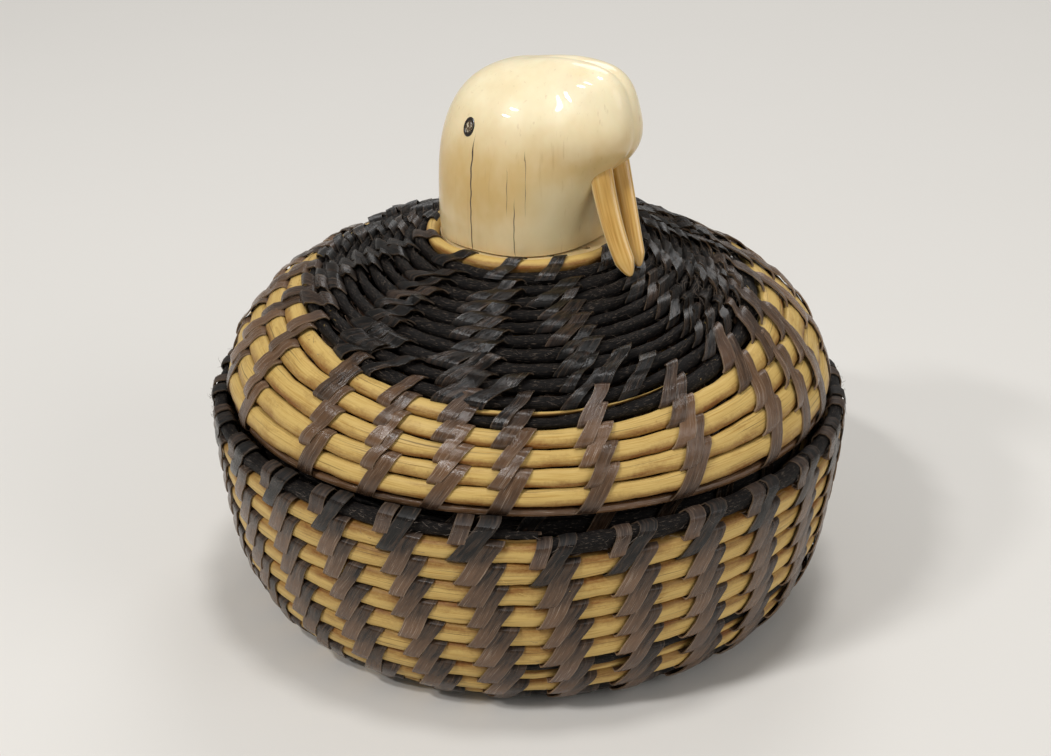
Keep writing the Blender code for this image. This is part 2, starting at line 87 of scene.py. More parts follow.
flangeWork = {**lidWork, "radius": 43.0 * mm, "top": 37.4 * mm, "turns": 3, "lean": None}
tableLiftFade = (-0.25 * mm, 1.2 * mm)  # height where the lift is whole, and how fast it fades


def bezier(corners, count=500):
    # Cubic Bezier: the corners weighted by (1-t)^3, 3(1-t)^2 t, 3(1-t) t^2 and t^3
    t = np.linspace(0, 1, count)[:, None]
    a, b, c, d = (np.array(corner) for corner in corners)
    return (1 - t) ** 3 * a + 3 * (1 - t) ** 2 * t * b + 3 * (1 - t) * t**2 * c + t**3 * d


def layCoil(line, work):
    # A rod's centre line in the (radius, height) plane, with its running length and its tangent
    steps = np.hypot(*np.diff(line, axis=0).T)
    along = np.concatenate([[0], np.cumsum(steps)])
    tangent = np.gradient(line, along, axis=0)
    tangent /= np.hypot(*tangent.T)[:, None]
    return {**work, "line": line, "along": along, "tangent": tangent,
            "pitch": along[-1] / work["turns"]}


def layBasketCoil(work):
    # Level from the starting disc to the foot, then a Bezier curve up the wall to the rim
    r, z, lean = work["rimRadius"], work["rimHeight"], work["wallLean"]
    foot = (work["footRadius"], work["baseHeight"])
    wall = bezier([
        foot,
        (foot[0] + work["footPull"], foot[1]),
        (r - work["wallPull"] * np.sin(lean), z - work["wallPull"] * np.cos(lean)),
        (r, z),
    ])
    flat = np.linspace((work["startRadius"], work["baseHeight"]), foot, 60)[:-1]
    return layCoil(np.vstack([flat, wall]), work)


def layLidCoil(work):
    # A Bezier curve from the lid's disc down to its edge
    crest, edge = np.array(work["start"]), np.array(work["end"])
    a, b = work["crestSlope"], work["edgeSlope"]
    return layCoil(bezier([
        crest,
        crest + work["crestPull"] * np.array([np.cos(a), -np.sin(a)]),
        edge + work["edgePull"] * np.array([-np.cos(b), np.sin(b)]),
        edge,
    ]), work)


def layFlangeCoil(work, pitch):
    # Straight down inside the mouth, a row's pitch for each turn
    r, top = work["radius"], work["top"]
    return layCoil(np.linspace((r, top), (r, top - work["turns"] * pitch), 20), work)


basketCoil = layBasketCoil(basketWork)
lidCoil = layLidCoil(lidWork)
flangeCoil = layFlangeCoil(flangeWork, lidCoil["pitch"])


def rowsClimbed(coil, turns):
    # Rows from the start of the spiral to a rod's outer edge: one a turn, a share of which
    # comes early as 1 - e^(-part / decay) and the rest evenly
    whole = np.floor(turns)
    part = turns - whole
    early = coil["stepShare"] * (1 - np.exp(-part / stepDecay))
    return np.where(turns > 0, whole + early + (1 - coil["stepShare"]) * part, 0)


def rowAt(coil, angle, middleAngle, rod):
    # Rods are counted from the disc at the strip's own angle. The row runs evenly from one
    # edge of each rod to its other edge
    turn = (middleAngle - coil["firstAngle"]) * coil["spin"] / fullTurn
    part = np.mod(turn, 1) + (angle - middleAngle) * coil["spin"] / fullTurn
    whole = np.floor(rod)
    low = rowsClimbed(coil, whole - 1 + part)
    high = rowsClimbed(coil, whole + part)
    return low + (rod - whole) * (high - low)


def leanedRow(coil, row, angle):
    # The lid's rows aren't level. Each lies nearer to the finial by tanh(spread (1 + sin a)),
    # times -k log(e^(-x/k) + e^(-y/k)), the soft minimum of two slopes that meet at the crest
    look = coil["lean"]
    if not look:
        return row
    k = look["softness"]
    inner = row / look["crestRow"]
    outer = (coil["turns"] - row) / (coil["turns"] - look["crestRow"])
    share = np.maximum(-k * np.logaddexp(-inner / k, -outer / k), 0)
    reach = np.tanh(look["spread"] * (1 + np.sin(angle))) * (1 + look["toRight"] * np.cos(angle))
    return row - look["rows"] * reach * share


def radiusOf(coil, row, angle):
    return np.interp(leanedRow(coil, row, angle) * coil["pitch"], coil["along"], coil["line"][:, 0])


def placeOn(coil, row, angle, offset):
    # The centre line at that row, moved along its normal by the offset and turned round the axis
    s = leanedRow(coil, row, angle) * coil["pitch"]
    along, line, tangent = coil["along"], coil["line"], coil["tangent"]
    past = s - np.clip(s, 0, along[-1])
    tangentOut = np.interp(s, along, tangent[:, 0])
    tangentUp = np.interp(s, along, tangent[:, 1])
    reach = offset * coil["outside"]
    radius = np.interp(s, along, line[:, 0]) + tangentOut * past - tangentUp * reach
    height = np.interp(s, along, line[:, 1]) + tangentUp * past + tangentOut * reach
    whole, fade = tableLiftFade
    height = height + coil["tableLift"] * np.exp(-(height - whole) / fade)
    return np.stack([radius * np.cos(angle), radius * np.sin(angle), height + 0 * angle], -1)


def rodCrown(across, squareness):
    # Height of a rod's rounded face, 1 at its middle and 0 at its two edges: a superellipse
    return (1 - np.minimum(np.abs(across), 1) ** squareness) ** (1 / squareness)


def wander(along, seed, longest, shortest, size, waves=7):
    # A slow, uneven sway: a sum of sines whose wavelengths and phases are drawn at random
    chance = np.random.default_rng(seed)
    length = np.exp(chance.uniform(np.log(shortest), np.log(longest), waves))
    phase = chance.uniform(0, fullTurn, waves)
    swing = np.sin(np.asarray(along)[..., None] / length * fullTurn + phase)
    return size * swing.sum(-1) / np.sqrt(waves / 2)


# Meshes

def superellipse(phi, squareness):
    # Cosine and sine of an angle, each to the power 2 / squareness and with its own sign
    return [np.sign(f) * np.abs(f) ** (2 / squareness) for f in (np.cos(phi), np.sin(phi))]


def addObject(name, data):
    obj = bpy.data.objects.new(name, data)
    bpy.context.scene.collection.objects.link(obj)
    return obj


def rideAs(obj, body, replaced=()):
    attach(obj, body)
    if replaced:
        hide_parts(*replaced)


def quadCorners(here, following):
    # Values at a point of a ring and the next one, laid out for each face between two rings
    return np.stack([here[:, :-1], following[:, :-1], following[:, 1:], here[:, 1:]], -1)


def fanCorners(here, following, tip):
    # The same for the triangles over a tube's first and last ring
    return np.concatenate([np.stack([following[:, 0], here[:, 0], tip[:, 0]], -1),
                           np.stack([here[:, -1], following[:, -1], tip[:, -1]], -1)], axis=1)


def makeTubes(name, points, uAlong, vRound, attributes, material, sharp=50):
    # points[strip, ring, round] become closed tubes: quads between rings and a fan of
    # triangles over each end. vRound has one more value than the ring has points
    strips, rings, around = points.shape[:3]
    number = np.arange(strips * rings * around).reshape(strips, rings, around)
    nextRound = np.roll(number, -1, axis=2)
    tips = (number.size + np.arange(2 * strips)).reshape(2, strips).T[..., None] + 0 * number[0, 0]
    u = np.broadcast_to(np.broadcast_to(uAlong, (strips, rings))[..., None], number.shape)
    v = np.broadcast_to(vRound, (strips, rings, around + 1))
    vHere, vNext = v[..., :-1], v[..., 1:]
    # a tube is inside out where its faces' normals point at its middle on the whole
    flat = points.reshape(-1, 3)
    corner = flat[quadCorners(number, nextRound)]
    side = corner[..., 1:, :] - corner[..., :1, :]
    normal = np.cross(side[..., 0, :], side[..., 1, :]) + np.cross(side[..., 1, :], side[..., 2, :])
    middle = points.mean(axis=(1, 2))[:, None, None, :]
    inverted = ((corner.mean(-2) - middle) * normal).sum((1, 2, 3)) < 0

    def wound(block):
        # one value for each corner of each face, the other way round in a tube that is inside out
        chosen = inverted.reshape(-1, *[1] * (block.ndim - 1))
        return np.where(chosen, block[..., ::-1], block).ravel()

    loops, uFaces, vFaces = (
        np.concatenate([wound(quadCorners(here, following)), wound(fanCorners(here, following, tip))])
        for here, following, tip in (
            (number, nextRound, tips), (u, u, u), (vHere, vNext, (vHere + vNext) / 2)))
    places = np.concatenate([flat, points[:, 0].mean(1), points[:, -1].mean(1)])
    faceSize = np.repeat([4, 3], [strips * (rings - 1) * around, strips * 2 * around])
    mesh = bpy.data.meshes.new(name)
    mesh.vertices.add(len(places))
    mesh.vertices.foreach_set("co", places.ravel())
    mesh.loops.add(len(loops))
    mesh.loops.foreach_set("vertex_index", loops.astype(np.int32))
    mesh.polygons.add(len(faceSize))
    mesh.polygons.foreach_set("loop_start", np.concatenate([[0], np.cumsum(faceSize)[:-1]]))
    mesh.update(calc_edges=True)
    uv = np.stack([uFaces, vFaces], -1)
    mesh.uv_layers.new(name="UVMap").data.foreach_set("uv", uv.ravel())
    for key, values in attributes.items():
        block = np.broadcast_to(values, (strips, rings, around))
        capped = np.concatenate([block.ravel(), block[:, 0].mean(1), block[:, -1].mean(1)])
        mesh.attributes.new(key, "FLOAT", "POINT").data.foreach_set("value", capped)
    mesh.shade_smooth()
    mesh.set_sharp_from_angle(angle=np.radians(sharp))
    mesh.materials.append(material)
    return addObject(name, mesh)


# Materials

def linear(hexColour):
    # sRGB to linear light: c / 12.92 up to 0.04045, and ((c + 0.055) / 1.055) ^ 2.4 above it
    c = np.array([int(hexColour[i:i + 2], 16) for i in (1, 3, 5)]) / 255
    return (*np.where(c <= 0.04045, c / 12.92, ((c + 0.055) / 1.055) ** 2.4), 1)


smooth = {"interpolation_type": "SMOOTHSTEP"}  # eases a range at both ends
colourMix = {"data_type": "RGBA", "out": 2}  # mixes input 6 with input 7 by input 0


def fillInputs(tree, node, inputs):
    # A value, a hex colour or a link for each input, by its name or its number
    for key, value in inputs.items() if isinstance(inputs, dict) else enumerate(inputs):
        if isinstance(value, bpy.types.NodeSocket):
            tree.links.new(value, node.inputs[key])
        else:
            node.inputs[key].default_value = linear(value) if isinstance(value, str) else value


def addNode(tree, kind, inputs=(), stops=(), out=0, **settings):
    # One node of any kind: its settings, its ramp's stops and its inputs. Returns one output
    node = tree.nodes.new("ShaderNode" + kind)
    for name, value in settings.items():
        setattr(node, name, value)
    if stops:
        ends = node.color_ramp.elements
        for end, (place, shade) in zip((ends[0], ends[1]), (stops[0], stops[-1])):
            end.position, end.color = place, linear(shade)
        for place, shade in stops[1:-1]:
            ends.new(place).color = linear(shade)
    fillInputs(tree, node, inputs)
    return node.outputs[out]


def newMaterial(name, look, coordinates):
    # A material with its shader's plain values, and the noise patterns that its look lists, each
    # stretched to a real size in millimetres along u and v, or x, y and z
    material = bpy.data.materials.new(name)
    material.use_nodes = True
    tree = material.node_tree
    shader = tree.nodes["Principled BSDF"]
    fillInputs(tree, shader, look["shader"])
    place = addNode(tree, "TexCoord", out=coordinates)
    shift = (0.0, 0.0, 0.0)
    if "lotShift" in look:  # each strip has a part of the pattern to itself
        lot = addNode(tree, "Attribute", out="Fac", attribute_name="lot")
        lot = addNode(tree, "Math", (lot, look["lotShift"]), operation="MULTIPLY")
        shift = addNode(tree, "CombineXYZ", {2: lot})
    patterns = []
    for size, detail, roughness in look["patterns"].values():
        scale = [1 / (s * mm) for s in size] + [1.0]
        stretched = addNode(tree, "VectorMath", (place, scale[:3], shift), operation="MULTIPLY_ADD")
        patterns.append(addNode(tree, "TexNoise", {
            "Vector": stretched, "Scale": 1.0, "Detail": detail, "Roughness": roughness}))
    return material, tree, shader, place, patterns


lightBaleen = {
    "pale": "#CEAF69",
    "honey": "#AF8741",
    "stainAndShade": "#7A4A18",
    "line": "#2E1C0A",
    "fleck": "#E8D6A6",
    "patterns": {  # size in mm, detail, roughness of the noise
        "fibre": ((11, 0.17), 5, 0.62),
        "blotch": ((7, 1.3), 4, 0.55),
        "mottle": ((0.5, 0.3), 3, 0.7),
        "lines": ((26, 0.13), 2, 0.55),
    },
    # how much each thing darkens it to orange-brown, added to a start that is less than 0: a stain that
    # along its edge and near the strips is partly painted shade
    "stainedAndShaded": {"clean": -1.55, "edge": 0.85, "nearStrip": 0.25, "blotch": 2.0, "mottle": 0.7},
    "lineDepth": 0.6,
    "fleckStrength": 0.5,
    "shader": {"IOR": 1.5, "Specular IOR Level": 0.3},
}


def makeLightBaleen(name, look):
    # Light baleen, split and scraped to a round rod: honey-coloured and satin, with long fibres,
    # fine dark lines, pale specks, and an orange-brown stain, partly painted shade, where it meets a
    # strip or a rod
    material, tree, shader, _, patterns = newMaterial(name, look, "UV")
    fibre, blotch, mottle, lines = patterns
    grain = addNode(tree, "ValToRGB", (fibre,), stops=(
        (0.28, look["honey"]), (0.5, look["pale"]), (0.72, look["honey"])))
    # Orange-brown along the rod's edge where it meets the next rod, and near the strips: partly a stain,
    # partly painted shade
    edge = addNode(tree, "Attribute", out="Fac", attribute_name="edge")
    edge = addNode(tree, "MapRange", (edge, -0.15, 0.9), **smooth)
    held = addNode(tree, "Attribute", out="Fac", attribute_name="nearStrip")
    share = look["stainedAndShaded"]
    stainAndShade = share["clean"]
    for part, key in ((edge, "edge"), (held, "nearStrip"), (blotch, "blotch"), (mottle, "mottle")):
        stainAndShade = addNode(tree, "Math", (part, share[key], stainAndShade), operation="MULTIPLY_ADD")
    dark = addNode(tree, "MapRange", (lines, 0.61, 0.7, 0, look["lineDepth"]), **smooth)
    bright = addNode(tree, "MapRange", (mottle, 0.7, 0.8, 0, look["fleckStrength"]), **smooth)
    colour = grain
    for amount, over in ((stainAndShade, "stainAndShade"), (dark, "line"), (bright, "fleck")):
        colour = addNode(tree, "Mix", {0: amount, 6: colour, 7: look[over]}, **colourMix)
    rough = addNode(tree, "Math", (fibre, 0.35, 0.32), operation="MULTIPLY_ADD")
    height = addNode(tree, "Math", (fibre, dark), operation="SUBTRACT")
    bump = addNode(tree, "Bump", {"Height": height, "Strength": 0.5, "Distance": 0.1 * mm})
    fillInputs(tree, shader, {"Base Color": colour, "Roughness": rough, "Normal": bump})
    return material


darkBaleen = {
    "black": "#090808",
    "brown": "#16110F",
    "fray": "#857668",
    "frayStrength": 0.75,
    "patterns": {"fibre": ((5, 0.13), 5, 0.7), "torn": ((1.1, 0.12), 3, 0.7)},
    "shader": {"IOR": 1.5, "Specular IOR Level": 0.16},
}


def makeDarkBaleen(name, look):
    # Black baleen, split and scraped: dull and fibrous, near black with grey-brown torn fibres
    material, tree, shader, _, (fibre, torn) = newMaterial(name, look, "UV")
    body = addNode(tree, "ValToRGB", (fibre,), stops=((0.38, look["black"]), (0.66, look["brown"])))
    frayed = addNode(tree, "MapRange", (torn, 0.57, 0.7, 0, look["frayStrength"]), **smooth)
    colour = addNode(tree, "Mix", {0: frayed, 6: body, 7: look["fray"]}, **colourMix)
    rough = addNode(tree, "Math", (fibre, 0.4, 0.36), operation="MULTIPLY_ADD")
    bump = addNode(tree, "Bump", {"Height": fibre, "Strength": 0.9, "Distance": 0.2 * mm})
    fillInputs(tree, shader, {"Base Color": colour, "Roughness": rough, "Normal": bump})
    return material


stripBaleen = {
    "black": "#080605",
    "brown": "#664B38",
    "paleStreakAndSheen": "#B3A08C",
    "edge": "#8E7860",
    "honeyBelow": "#7A5426",
    "seeThrough": 0.3,  # how far the light rod below shows
    "foldRoughness": 0.45,  # added where the strip turns down between two rods
    "lotShift": 60.0,  # how far apart two strips are in their patterns, at most
    "patterns": {"streak": ((4, 0.11), 4, 0.65), "broad": ((3.0, 0.5), 3, 0.55)},
    "shader": {"IOR": 1.55},
}


def makeStripBaleen(name, look):
    # Baleen shaved to a thin flat strip: glossy horn, streaked lengthways with pale streaks that are
    # partly a painted sheen, brown and a little see-through where it lies over a light rod, black
    # elsewhere, with a painted highlight along its cut edges
    material, tree, shader, _, (streak, broad) = newMaterial(name, look, "UV")
    tone, overLight, cut, fold = (addNode(tree, "Attribute", out="Fac", attribute_name=key)
                                  for key in ("tone", "overLight", "cut", "fold"))
    warm = addNode(tree, "Math", (broad, 0.9, -0.45), operation="MULTIPLY_ADD")
    warm = addNode(tree, "Math", (tone, warm), operation="ADD", use_clamp=True)
    below = addNode(tree, "Math", (overLight, warm), operation="MULTIPLY")
    below = addNode(tree, "Math", (below, look["seeThrough"]), operation="MULTIPLY")
    # Pale streaks along the grain, partly a painted sheen that stands in for glossy highlights, more on
    # the brown strips
    bright = addNode(tree, "MapRange", (streak, 0.55, 0.7), **smooth)
    most = addNode(tree, "Math", (warm, 0.75, 0.06), operation="MULTIPLY_ADD")
    bright = addNode(tree, "Math", (bright, most), operation="MULTIPLY")
    # Painted highlight: paler along both cut edges of the strip
    pale = addNode(tree, "MapRange", (cut, 0.86, 1.0), **smooth)
    most = addNode(tree, "Math", (warm, 0.6, 0.1), operation="MULTIPLY_ADD")
    pale = addNode(tree, "Math", (pale, most), operation="MULTIPLY")
    colour = look["black"]
    for amount, over in ((warm, "brown"), (below, "honeyBelow"), (bright, "paleStreakAndSheen"), (pale, "edge")):
        colour = addNode(tree, "Mix", {0: amount, 6: colour, 7: look[over]}, **colourMix)
    rough = addNode(tree, "Math", (streak, 0.26, 0.1), operation="MULTIPLY_ADD")
    folded = addNode(tree, "MapRange", (fold, 0.55, 0.9), **smooth)
    rough = addNode(tree, "Math", (folded, look["foldRoughness"], rough), operation="MULTIPLY_ADD")
    gloss = addNode(tree, "Math", (warm, 0.3, 0.3), operation="MULTIPLY_ADD")
    height = addNode(tree, "Math", (streak, broad), operation="ADD")
    bump = addNode(tree, "Bump", {"Height": height, "Strength": 0.6, "Distance": 0.09 * mm})
    fillInputs(tree, shader, {"Base Color": colour, "Specular IOR Level": gloss,
                              "Roughness": rough, "Normal": bump})
    return material


ivoryLook = {
    "cream": "#F6E8C2",
    "tan": "#D0AD68",
    "deep": "#A87C42",
    "grey": "#DCD4B0",
    "crack": "#3B2817",
    "tanFrom": (82 * mm, 70 * mm),  # heights on the head where the tan sets in and is full
    "footFrom": (69 * mm, 60 * mm),  # and where it fades again towards the foot
    "weathering": 0.5,
    "grainLines": 0.22,
    "patterns": {"mottle": ((6, 6, 9), 3, 0.55), "grain": ((0.5, 0.5, 14), 3, 0.55)},
    "shader": {"IOR": 1.54, "Subsurface Weight": 0.1, "Subsurface Scale": 0.8 * mm,
               "Coat Weight": 0.6, "Coat Roughness": 0.03},
}


def makeIvory(name, look):
    # Walrus ivory, carved and polished: cream on top, tan lower down, softly mottled, with
    # fine dark age cracks along the grain and a clear polish
    material, tree, shader, place, (mottle, grain) = newMaterial(name, look, "Object")
    weathered, phase, reach, depth = (
        addNode(tree, "Attribute", out="Fac", attribute_name=key)
        for key in ("weathered", "crackPhase", "crackReach", "crackDepth"))
    height = addNode(tree, "SeparateXYZ", (place,), out=2)
    low = addNode(tree, "MapRange", (height, *look["tanFrom"]), **smooth)
    foot = addNode(tree, "MapRange", (height, *look["footFrom"], 0.85, 0.45), **smooth)
    tan = addNode(tree, "Math", (low, foot, -0.4), operation="MULTIPLY_ADD")
    tan = addNode(tree, "Math", (tan, mottle), operation="ADD")
    grey = addNode(tree, "Math", (weathered, look["weathering"]), operation="MULTIPLY")
    lines = addNode(tree, "MapRange", (grain, 0.6, 0.75, 0, look["grainLines"]), **smooth)
    # distance to the nearest crack, in shares of the room between two cracks
    away = addNode(tree, "Math", (phase, 0.5), operation="PINGPONG")
    ragged = addNode(tree, "Math", (grain, 1.6, 0.1), operation="MULTIPLY_ADD")
    ragged = addNode(tree, "Math", (reach, ragged), operation="MULTIPLY")
    crack = addNode(tree, "Math", (away, ragged), operation="LESS_THAN")
    darkness = addNode(tree, "Math", (crack, depth), operation="MULTIPLY")
    colour = look["cream"]
    for amount, over in ((tan, "tan"), (grey, "grey"), (lines, "deep"), (darkness, "crack")):
        colour = addNode(tree, "Mix", {0: amount, 6: colour, 7: look[over]}, **colourMix)
    rough = addNode(tree, "Math", (mottle, 0.16, 0.4), operation="MULTIPLY_ADD")
    relief = addNode(tree, "Math", (mottle, crack), operation="SUBTRACT")
    bump = addNode(tree, "Bump", {"Height": relief, "Strength": 0.25, "Distance": 0.1 * mm})
    fillInputs(tree, shader, {"Base Color": colour, "Roughness": rough, "Normal": bump})
    return material


fibreLook = {
    "grey": "#8B7D70",
    "dark": "#3A302A",
    "patterns": {"patch": ((0.6, 0.2), 2, 0.55)},
    "shader": {"Roughness": 0.6, "IOR": 1.5},
}


def makeTornFibre(name, look):
    # Torn baleen fibres: dull grey-brown threads, darker along parts of their length
    material, tree, shader, _, (patch,) = newMaterial(name, look, "UV")
    colour = addNode(tree, "Mix", {0: patch, 6: look["dark"], 7: look["grey"]}, **colourMix)
    fillInputs(tree, shader, {"Base Color": colour})
    return material


tuskLook = {
    "amber": "#C99D52",
    "pale": "#DDB873",
    "line": "#A87A35",
    "edge": "#F0DDB0",
    "edgeStrength": 0.75,
    "patterns": {"streak": ((14, 0.6), 3, 0.55)},
    "shader": {"Roughness": 0.24, "IOR": 1.54, "Subsurface Weight": 0.08,
               "Subsurface Scale": 0.8 * mm, "Coat Weight": 0.4, "Coat Roughness": 0.1},
}


def makeTuskIvory(name, look):
    # Walrus ivory from the tusk's core, polished: yellow-tan, streaked lengthways, paler edges
    material, tree, shader, _, (streak,) = newMaterial(name, look, "UV")
    colour = addNode(tree, "ValToRGB", (streak,), stops=(
        (0.3, look["line"]), (0.46, look["amber"]), (0.7, look["pale"])))
    edge = addNode(tree, "Attribute", out="Fac", attribute_name="edge")
    edge = addNode(tree, "MapRange", (edge, 0.88, 0.98, 0, look["edgeStrength"]), **smooth)
    colour = addNode(tree, "Mix", {0: edge, 6: colour, 7: look["edge"]}, **colourMix)
    bump = addNode(tree, "Bump", {"Height": streak, "Strength": 0.2, "Distance": 0.05 * mm})
    fillInputs(tree, shader, {"Base Color": colour, "Normal": bump})
    return material


eyeLook = {
    "black": "#1A1411",
    "brown": "#54432F",
    "fleck": "#C9BDA2",
    "middle": 0.55,  # share of the radius that is flecked
    "patterns": {"fleck": ((0.35, 0.35, 0.5), 2, 0.55)},
    "shader": {"IOR": 1.55},
}


def makeEyeInlay(name, look):
    # Black baleen plug let into the ivory: a dark ring round a browner middle with pale flecks
    material, tree, shader, _, (fleck,) = newMaterial(name, look, "Object")
    ring = addNode(tree, "Attribute", out="Fac", attribute_name="ring")
    colour = addNode(tree, "ValToRGB", (ring,), stops=(
        (0.0, look["brown"]), (0.5, look["brown"]), (0.72, look["black"])))
    inner = addNode(tree, "Math", (ring, look["middle"]), operation="LESS_THAN")
    pale = addNode(tree, "MapRange", (fleck, 0.55, 0.65), **smooth)
    pale = addNode(tree, "Math", (pale, inner), operation="MULTIPLY")
    colour = addNode(tree, "Mix", {0: pale, 6: colour, 7: look["fleck"]}, **colourMix)
    rough = addNode(tree, "Math", (fleck, 0.3, 0.15), operation="MULTIPLY_ADD")
    fillInputs(tree, shader, {"Base Color": colour, "Roughness": rough})
    return material


lightRodMaterial = makeLightBaleen("lightBaleenScrapedRod", lightBaleen)
darkRodMaterial = makeDarkBaleen("blackBaleenScrapedRod", darkBaleen)
stripMaterial = makeStripBaleen("baleenShavedStrip", stripBaleen)
ivoryMaterial = makeIvory("walrusIvoryPolished", ivoryLook)
fibreMaterial = makeTornFibre("baleenTornFibre", fibreLook)
tuskMaterial = makeTuskIvory("tuskIvoryPolished", tuskLook)
eyeMaterial = makeEyeInlay("baleenEyeInlay", eyeLook)
print("materials made")

# Rods

columns = {
    "wallCount": 28,
    "wallStart": np.radians(-86.5),  # angle at the top of the wall
    "wallDrift": np.radians(-0.6),  # a row upwards
    "topRow": 16.65,
    "heldWidth": 0.3,  # how far a strip's stain and painted shade on the rods spreads, in columns
}


def nearWallStrip(angle, row):
    # 1 on a column of strips and 0 half way between two, as a Gauss curve of the distance
    room = fullTurn / columns["wallCount"]
    drift = columns["wallDrift"] * (row - columns["topRow"])
    away = np.mod(angle - columns["wallStart"] - drift + room / 2, room) - room / 2
    return np.exp(-(away / (columns["heldWidth"] * room)) ** 2)


rodLooks = {
    # share of the row filled, squareness, depth, swelling and height of the split faces' ridges
    "wallLight": {"fill": 0.975, "squareness": 3.2, "depth": 1.0, "uneven": 0.03, "ridge": 0.012},
    "wallDark": {"fill": 0.93, "squareness": 2.6, "depth": 0.97, "uneven": 0.05, "ridge": 0.05},
    "rimDark": {"fill": 0.78, "squareness": 2.6, "depth": 0.74, "uneven": 0.06, "ridge": 0.06},
    "lidLight": {"fill": 0.95, "squareness": 3.0, "depth": 1.0, "uneven": 0.04, "ridge": 0.015},
    "lidDark": {"fill": 0.74, "squareness": 2.2, "depth": 0.95, "uneven": 0.09, "ridge": 0.06},
    "flangeDark": {"fill": 0.99, "squareness": 2.8, "depth": 0.95, "uneven": 0.02, "ridge": 0.03},
}
everyRod = {
    "ringsPerTurn": 210,
    "sides": 16,
    "splice": 0.0004,  # of a turn, open at each end of a rod
    "swayWaves": (70 * mm, 7 * mm),  # longest and shortest
    "swellWaves": (50 * mm, 4 * mm),
    "ridgeWaves": (30 * mm, 2 * mm),
    "swayInRow": 0.02 * mm,
    "swayOut": 0.05 * mm,
    "swellDepth": 0.7,  # how much of its swelling goes into its depth
    "taper": 0.08,  # of a turn, over which the last rod of a spiral thins
    "thinnest": 0.35,
    "girth": 2.9,  # way round a rod, in depths
    "lidHeld": 0.4,  # how much stain and painted shade the strips give the lid's rods, all along
}
wholeRow = ((0, 0.0, 1.0), (20, 0.0, 1.0))


def windRod(name, coil, start, end, look, material, seed, edges):
    # A spiral tube: at turn T its section reaches from the rows climbed at T-1 to those at T,
    # as a superellipse |x/a|^n + |y/b|^n = 1 in the plane through the axis. Edges give the
    # shares of the row between which the rod lies at some turns, where two rods share a row
    count = int((end - start) * everyRod["ringsPerTurn"]) + 3
    turns = np.linspace(start + everyRod["splice"], end - everyRod["splice"], count)
    below, above = rowsClimbed(coil, turns - 1), rowsClimbed(coil, turns)
    at = np.array(edges).T
    low = below + (above - below) * np.interp(turns, at[0], at[1])
    high = below + (above - below) * np.interp(turns, at[0], at[2])
    angle = coil["firstAngle"] + coil["spin"] * fullTurn * turns
    middle = (low + high) / 2
    radius = np.interp(middle * coil["pitch"], coil["along"], coil["line"][:, 0])
    length = np.concatenate([[0], np.cumsum(np.diff(turns) * fullTurn * radius[1:])])
    left = np.clip((max(coil["turns"], end) - turns) / everyRod["taper"], 0, 1)
    thin = left * (1 - everyRod["thinnest"]) + everyRod["thinnest"]
    sway = wander(length, seed, *everyRod["swayWaves"], 1.0)[:, None]
    swell = wander(length, seed + 1, *everyRod["swellWaves"], look["uneven"])
    halfAlong = (high - low) / 2 * look["fill"] * thin * (1 + swell)
    share = np.sqrt(np.clip(high - low, 0.05, 1))
    halfDepth = coil["depth"] / 2 * look["depth"] * thin * (1 + everyRod["swellDepth"] * swell) * share
    sides = everyRod["sides"]
    c, s = superellipse(np.linspace(0, fullTurn, sides, endpoint=False), look["squareness"])
    ridge = np.stack([wander(length, seed + 3 + k, *everyRod["ridgeWaves"], 1.0, 4)
                      for k in range(sides)], -1) * look["ridge"] * mm
    row = middle[:, None] + halfAlong[:, None] * c + everyRod["swayInRow"] * sway / coil["pitch"]
    offset = halfDepth[:, None] * s + everyRod["swayOut"] * sway + ridge * np.sign(s)
    points = placeOn(coil, row, angle[:, None], offset)
    girth = everyRod["girth"] * coil["depth"]
    held = nearWallStrip(angle, middle) if coil is basketCoil else everyRod["lidHeld"] + 0 * angle
    return makeTubes(
        name, points[None], length, np.linspace(0, girth, sides + 1),
        {"edge": c[None, None, :], "nearStrip": held[None, :, None]}, material)


# piece, node, first and last turn, look, colour
basketRods = [
    ("baseRods", "base_coil", 0.12, 7.55, "wallDark", "dark"),
    ("lowerLightRod", "lower_light_splice", 7.55, 7.98, "wallLight", "light"),
    ("lowerDarkRod", "lower_dark_splice", 7.98, 8.4, "wallDark", "dark"),
    ("lowerWallRods", "lower_wall_coil", 8.4, 9.98, "wallLight", "light"),
    ("upperDarkRod", "upper_dark_splice", 9.98, 10.4, "wallDark", "dark"),
    ("upperWallRods", "upper_wall_coil", 10.4, 16.0, "wallLight", "light"),
    ("rimRod", "rim_coil", 16.0, 17.0, "rimDark", "dark"),
]
lidRods = [
    ("lidStartRod", "lid_start_coil", 0.12, 1.0, "lidLight", "light"),
    ("lidDarkRods", "lid_dark_coil", 1.0, 11.54, "lidDark", "dark"),
    ("lidLightRods", "lid_light_coil", 11.54, 16.13, "lidLight", "light"),
]
basketSlivers = [("upperLightSliver", None, 9.97, 10.41, "wallLight", "light")]
lidSlivers = [("lidLightSliver", None, 11.4, 11.545, "lidLight", "light")]
flangeRods = [("lidFlangeRods", "lid_flange_coil", 0.0, flangeWork["turns"], "flangeDark", "dark")]
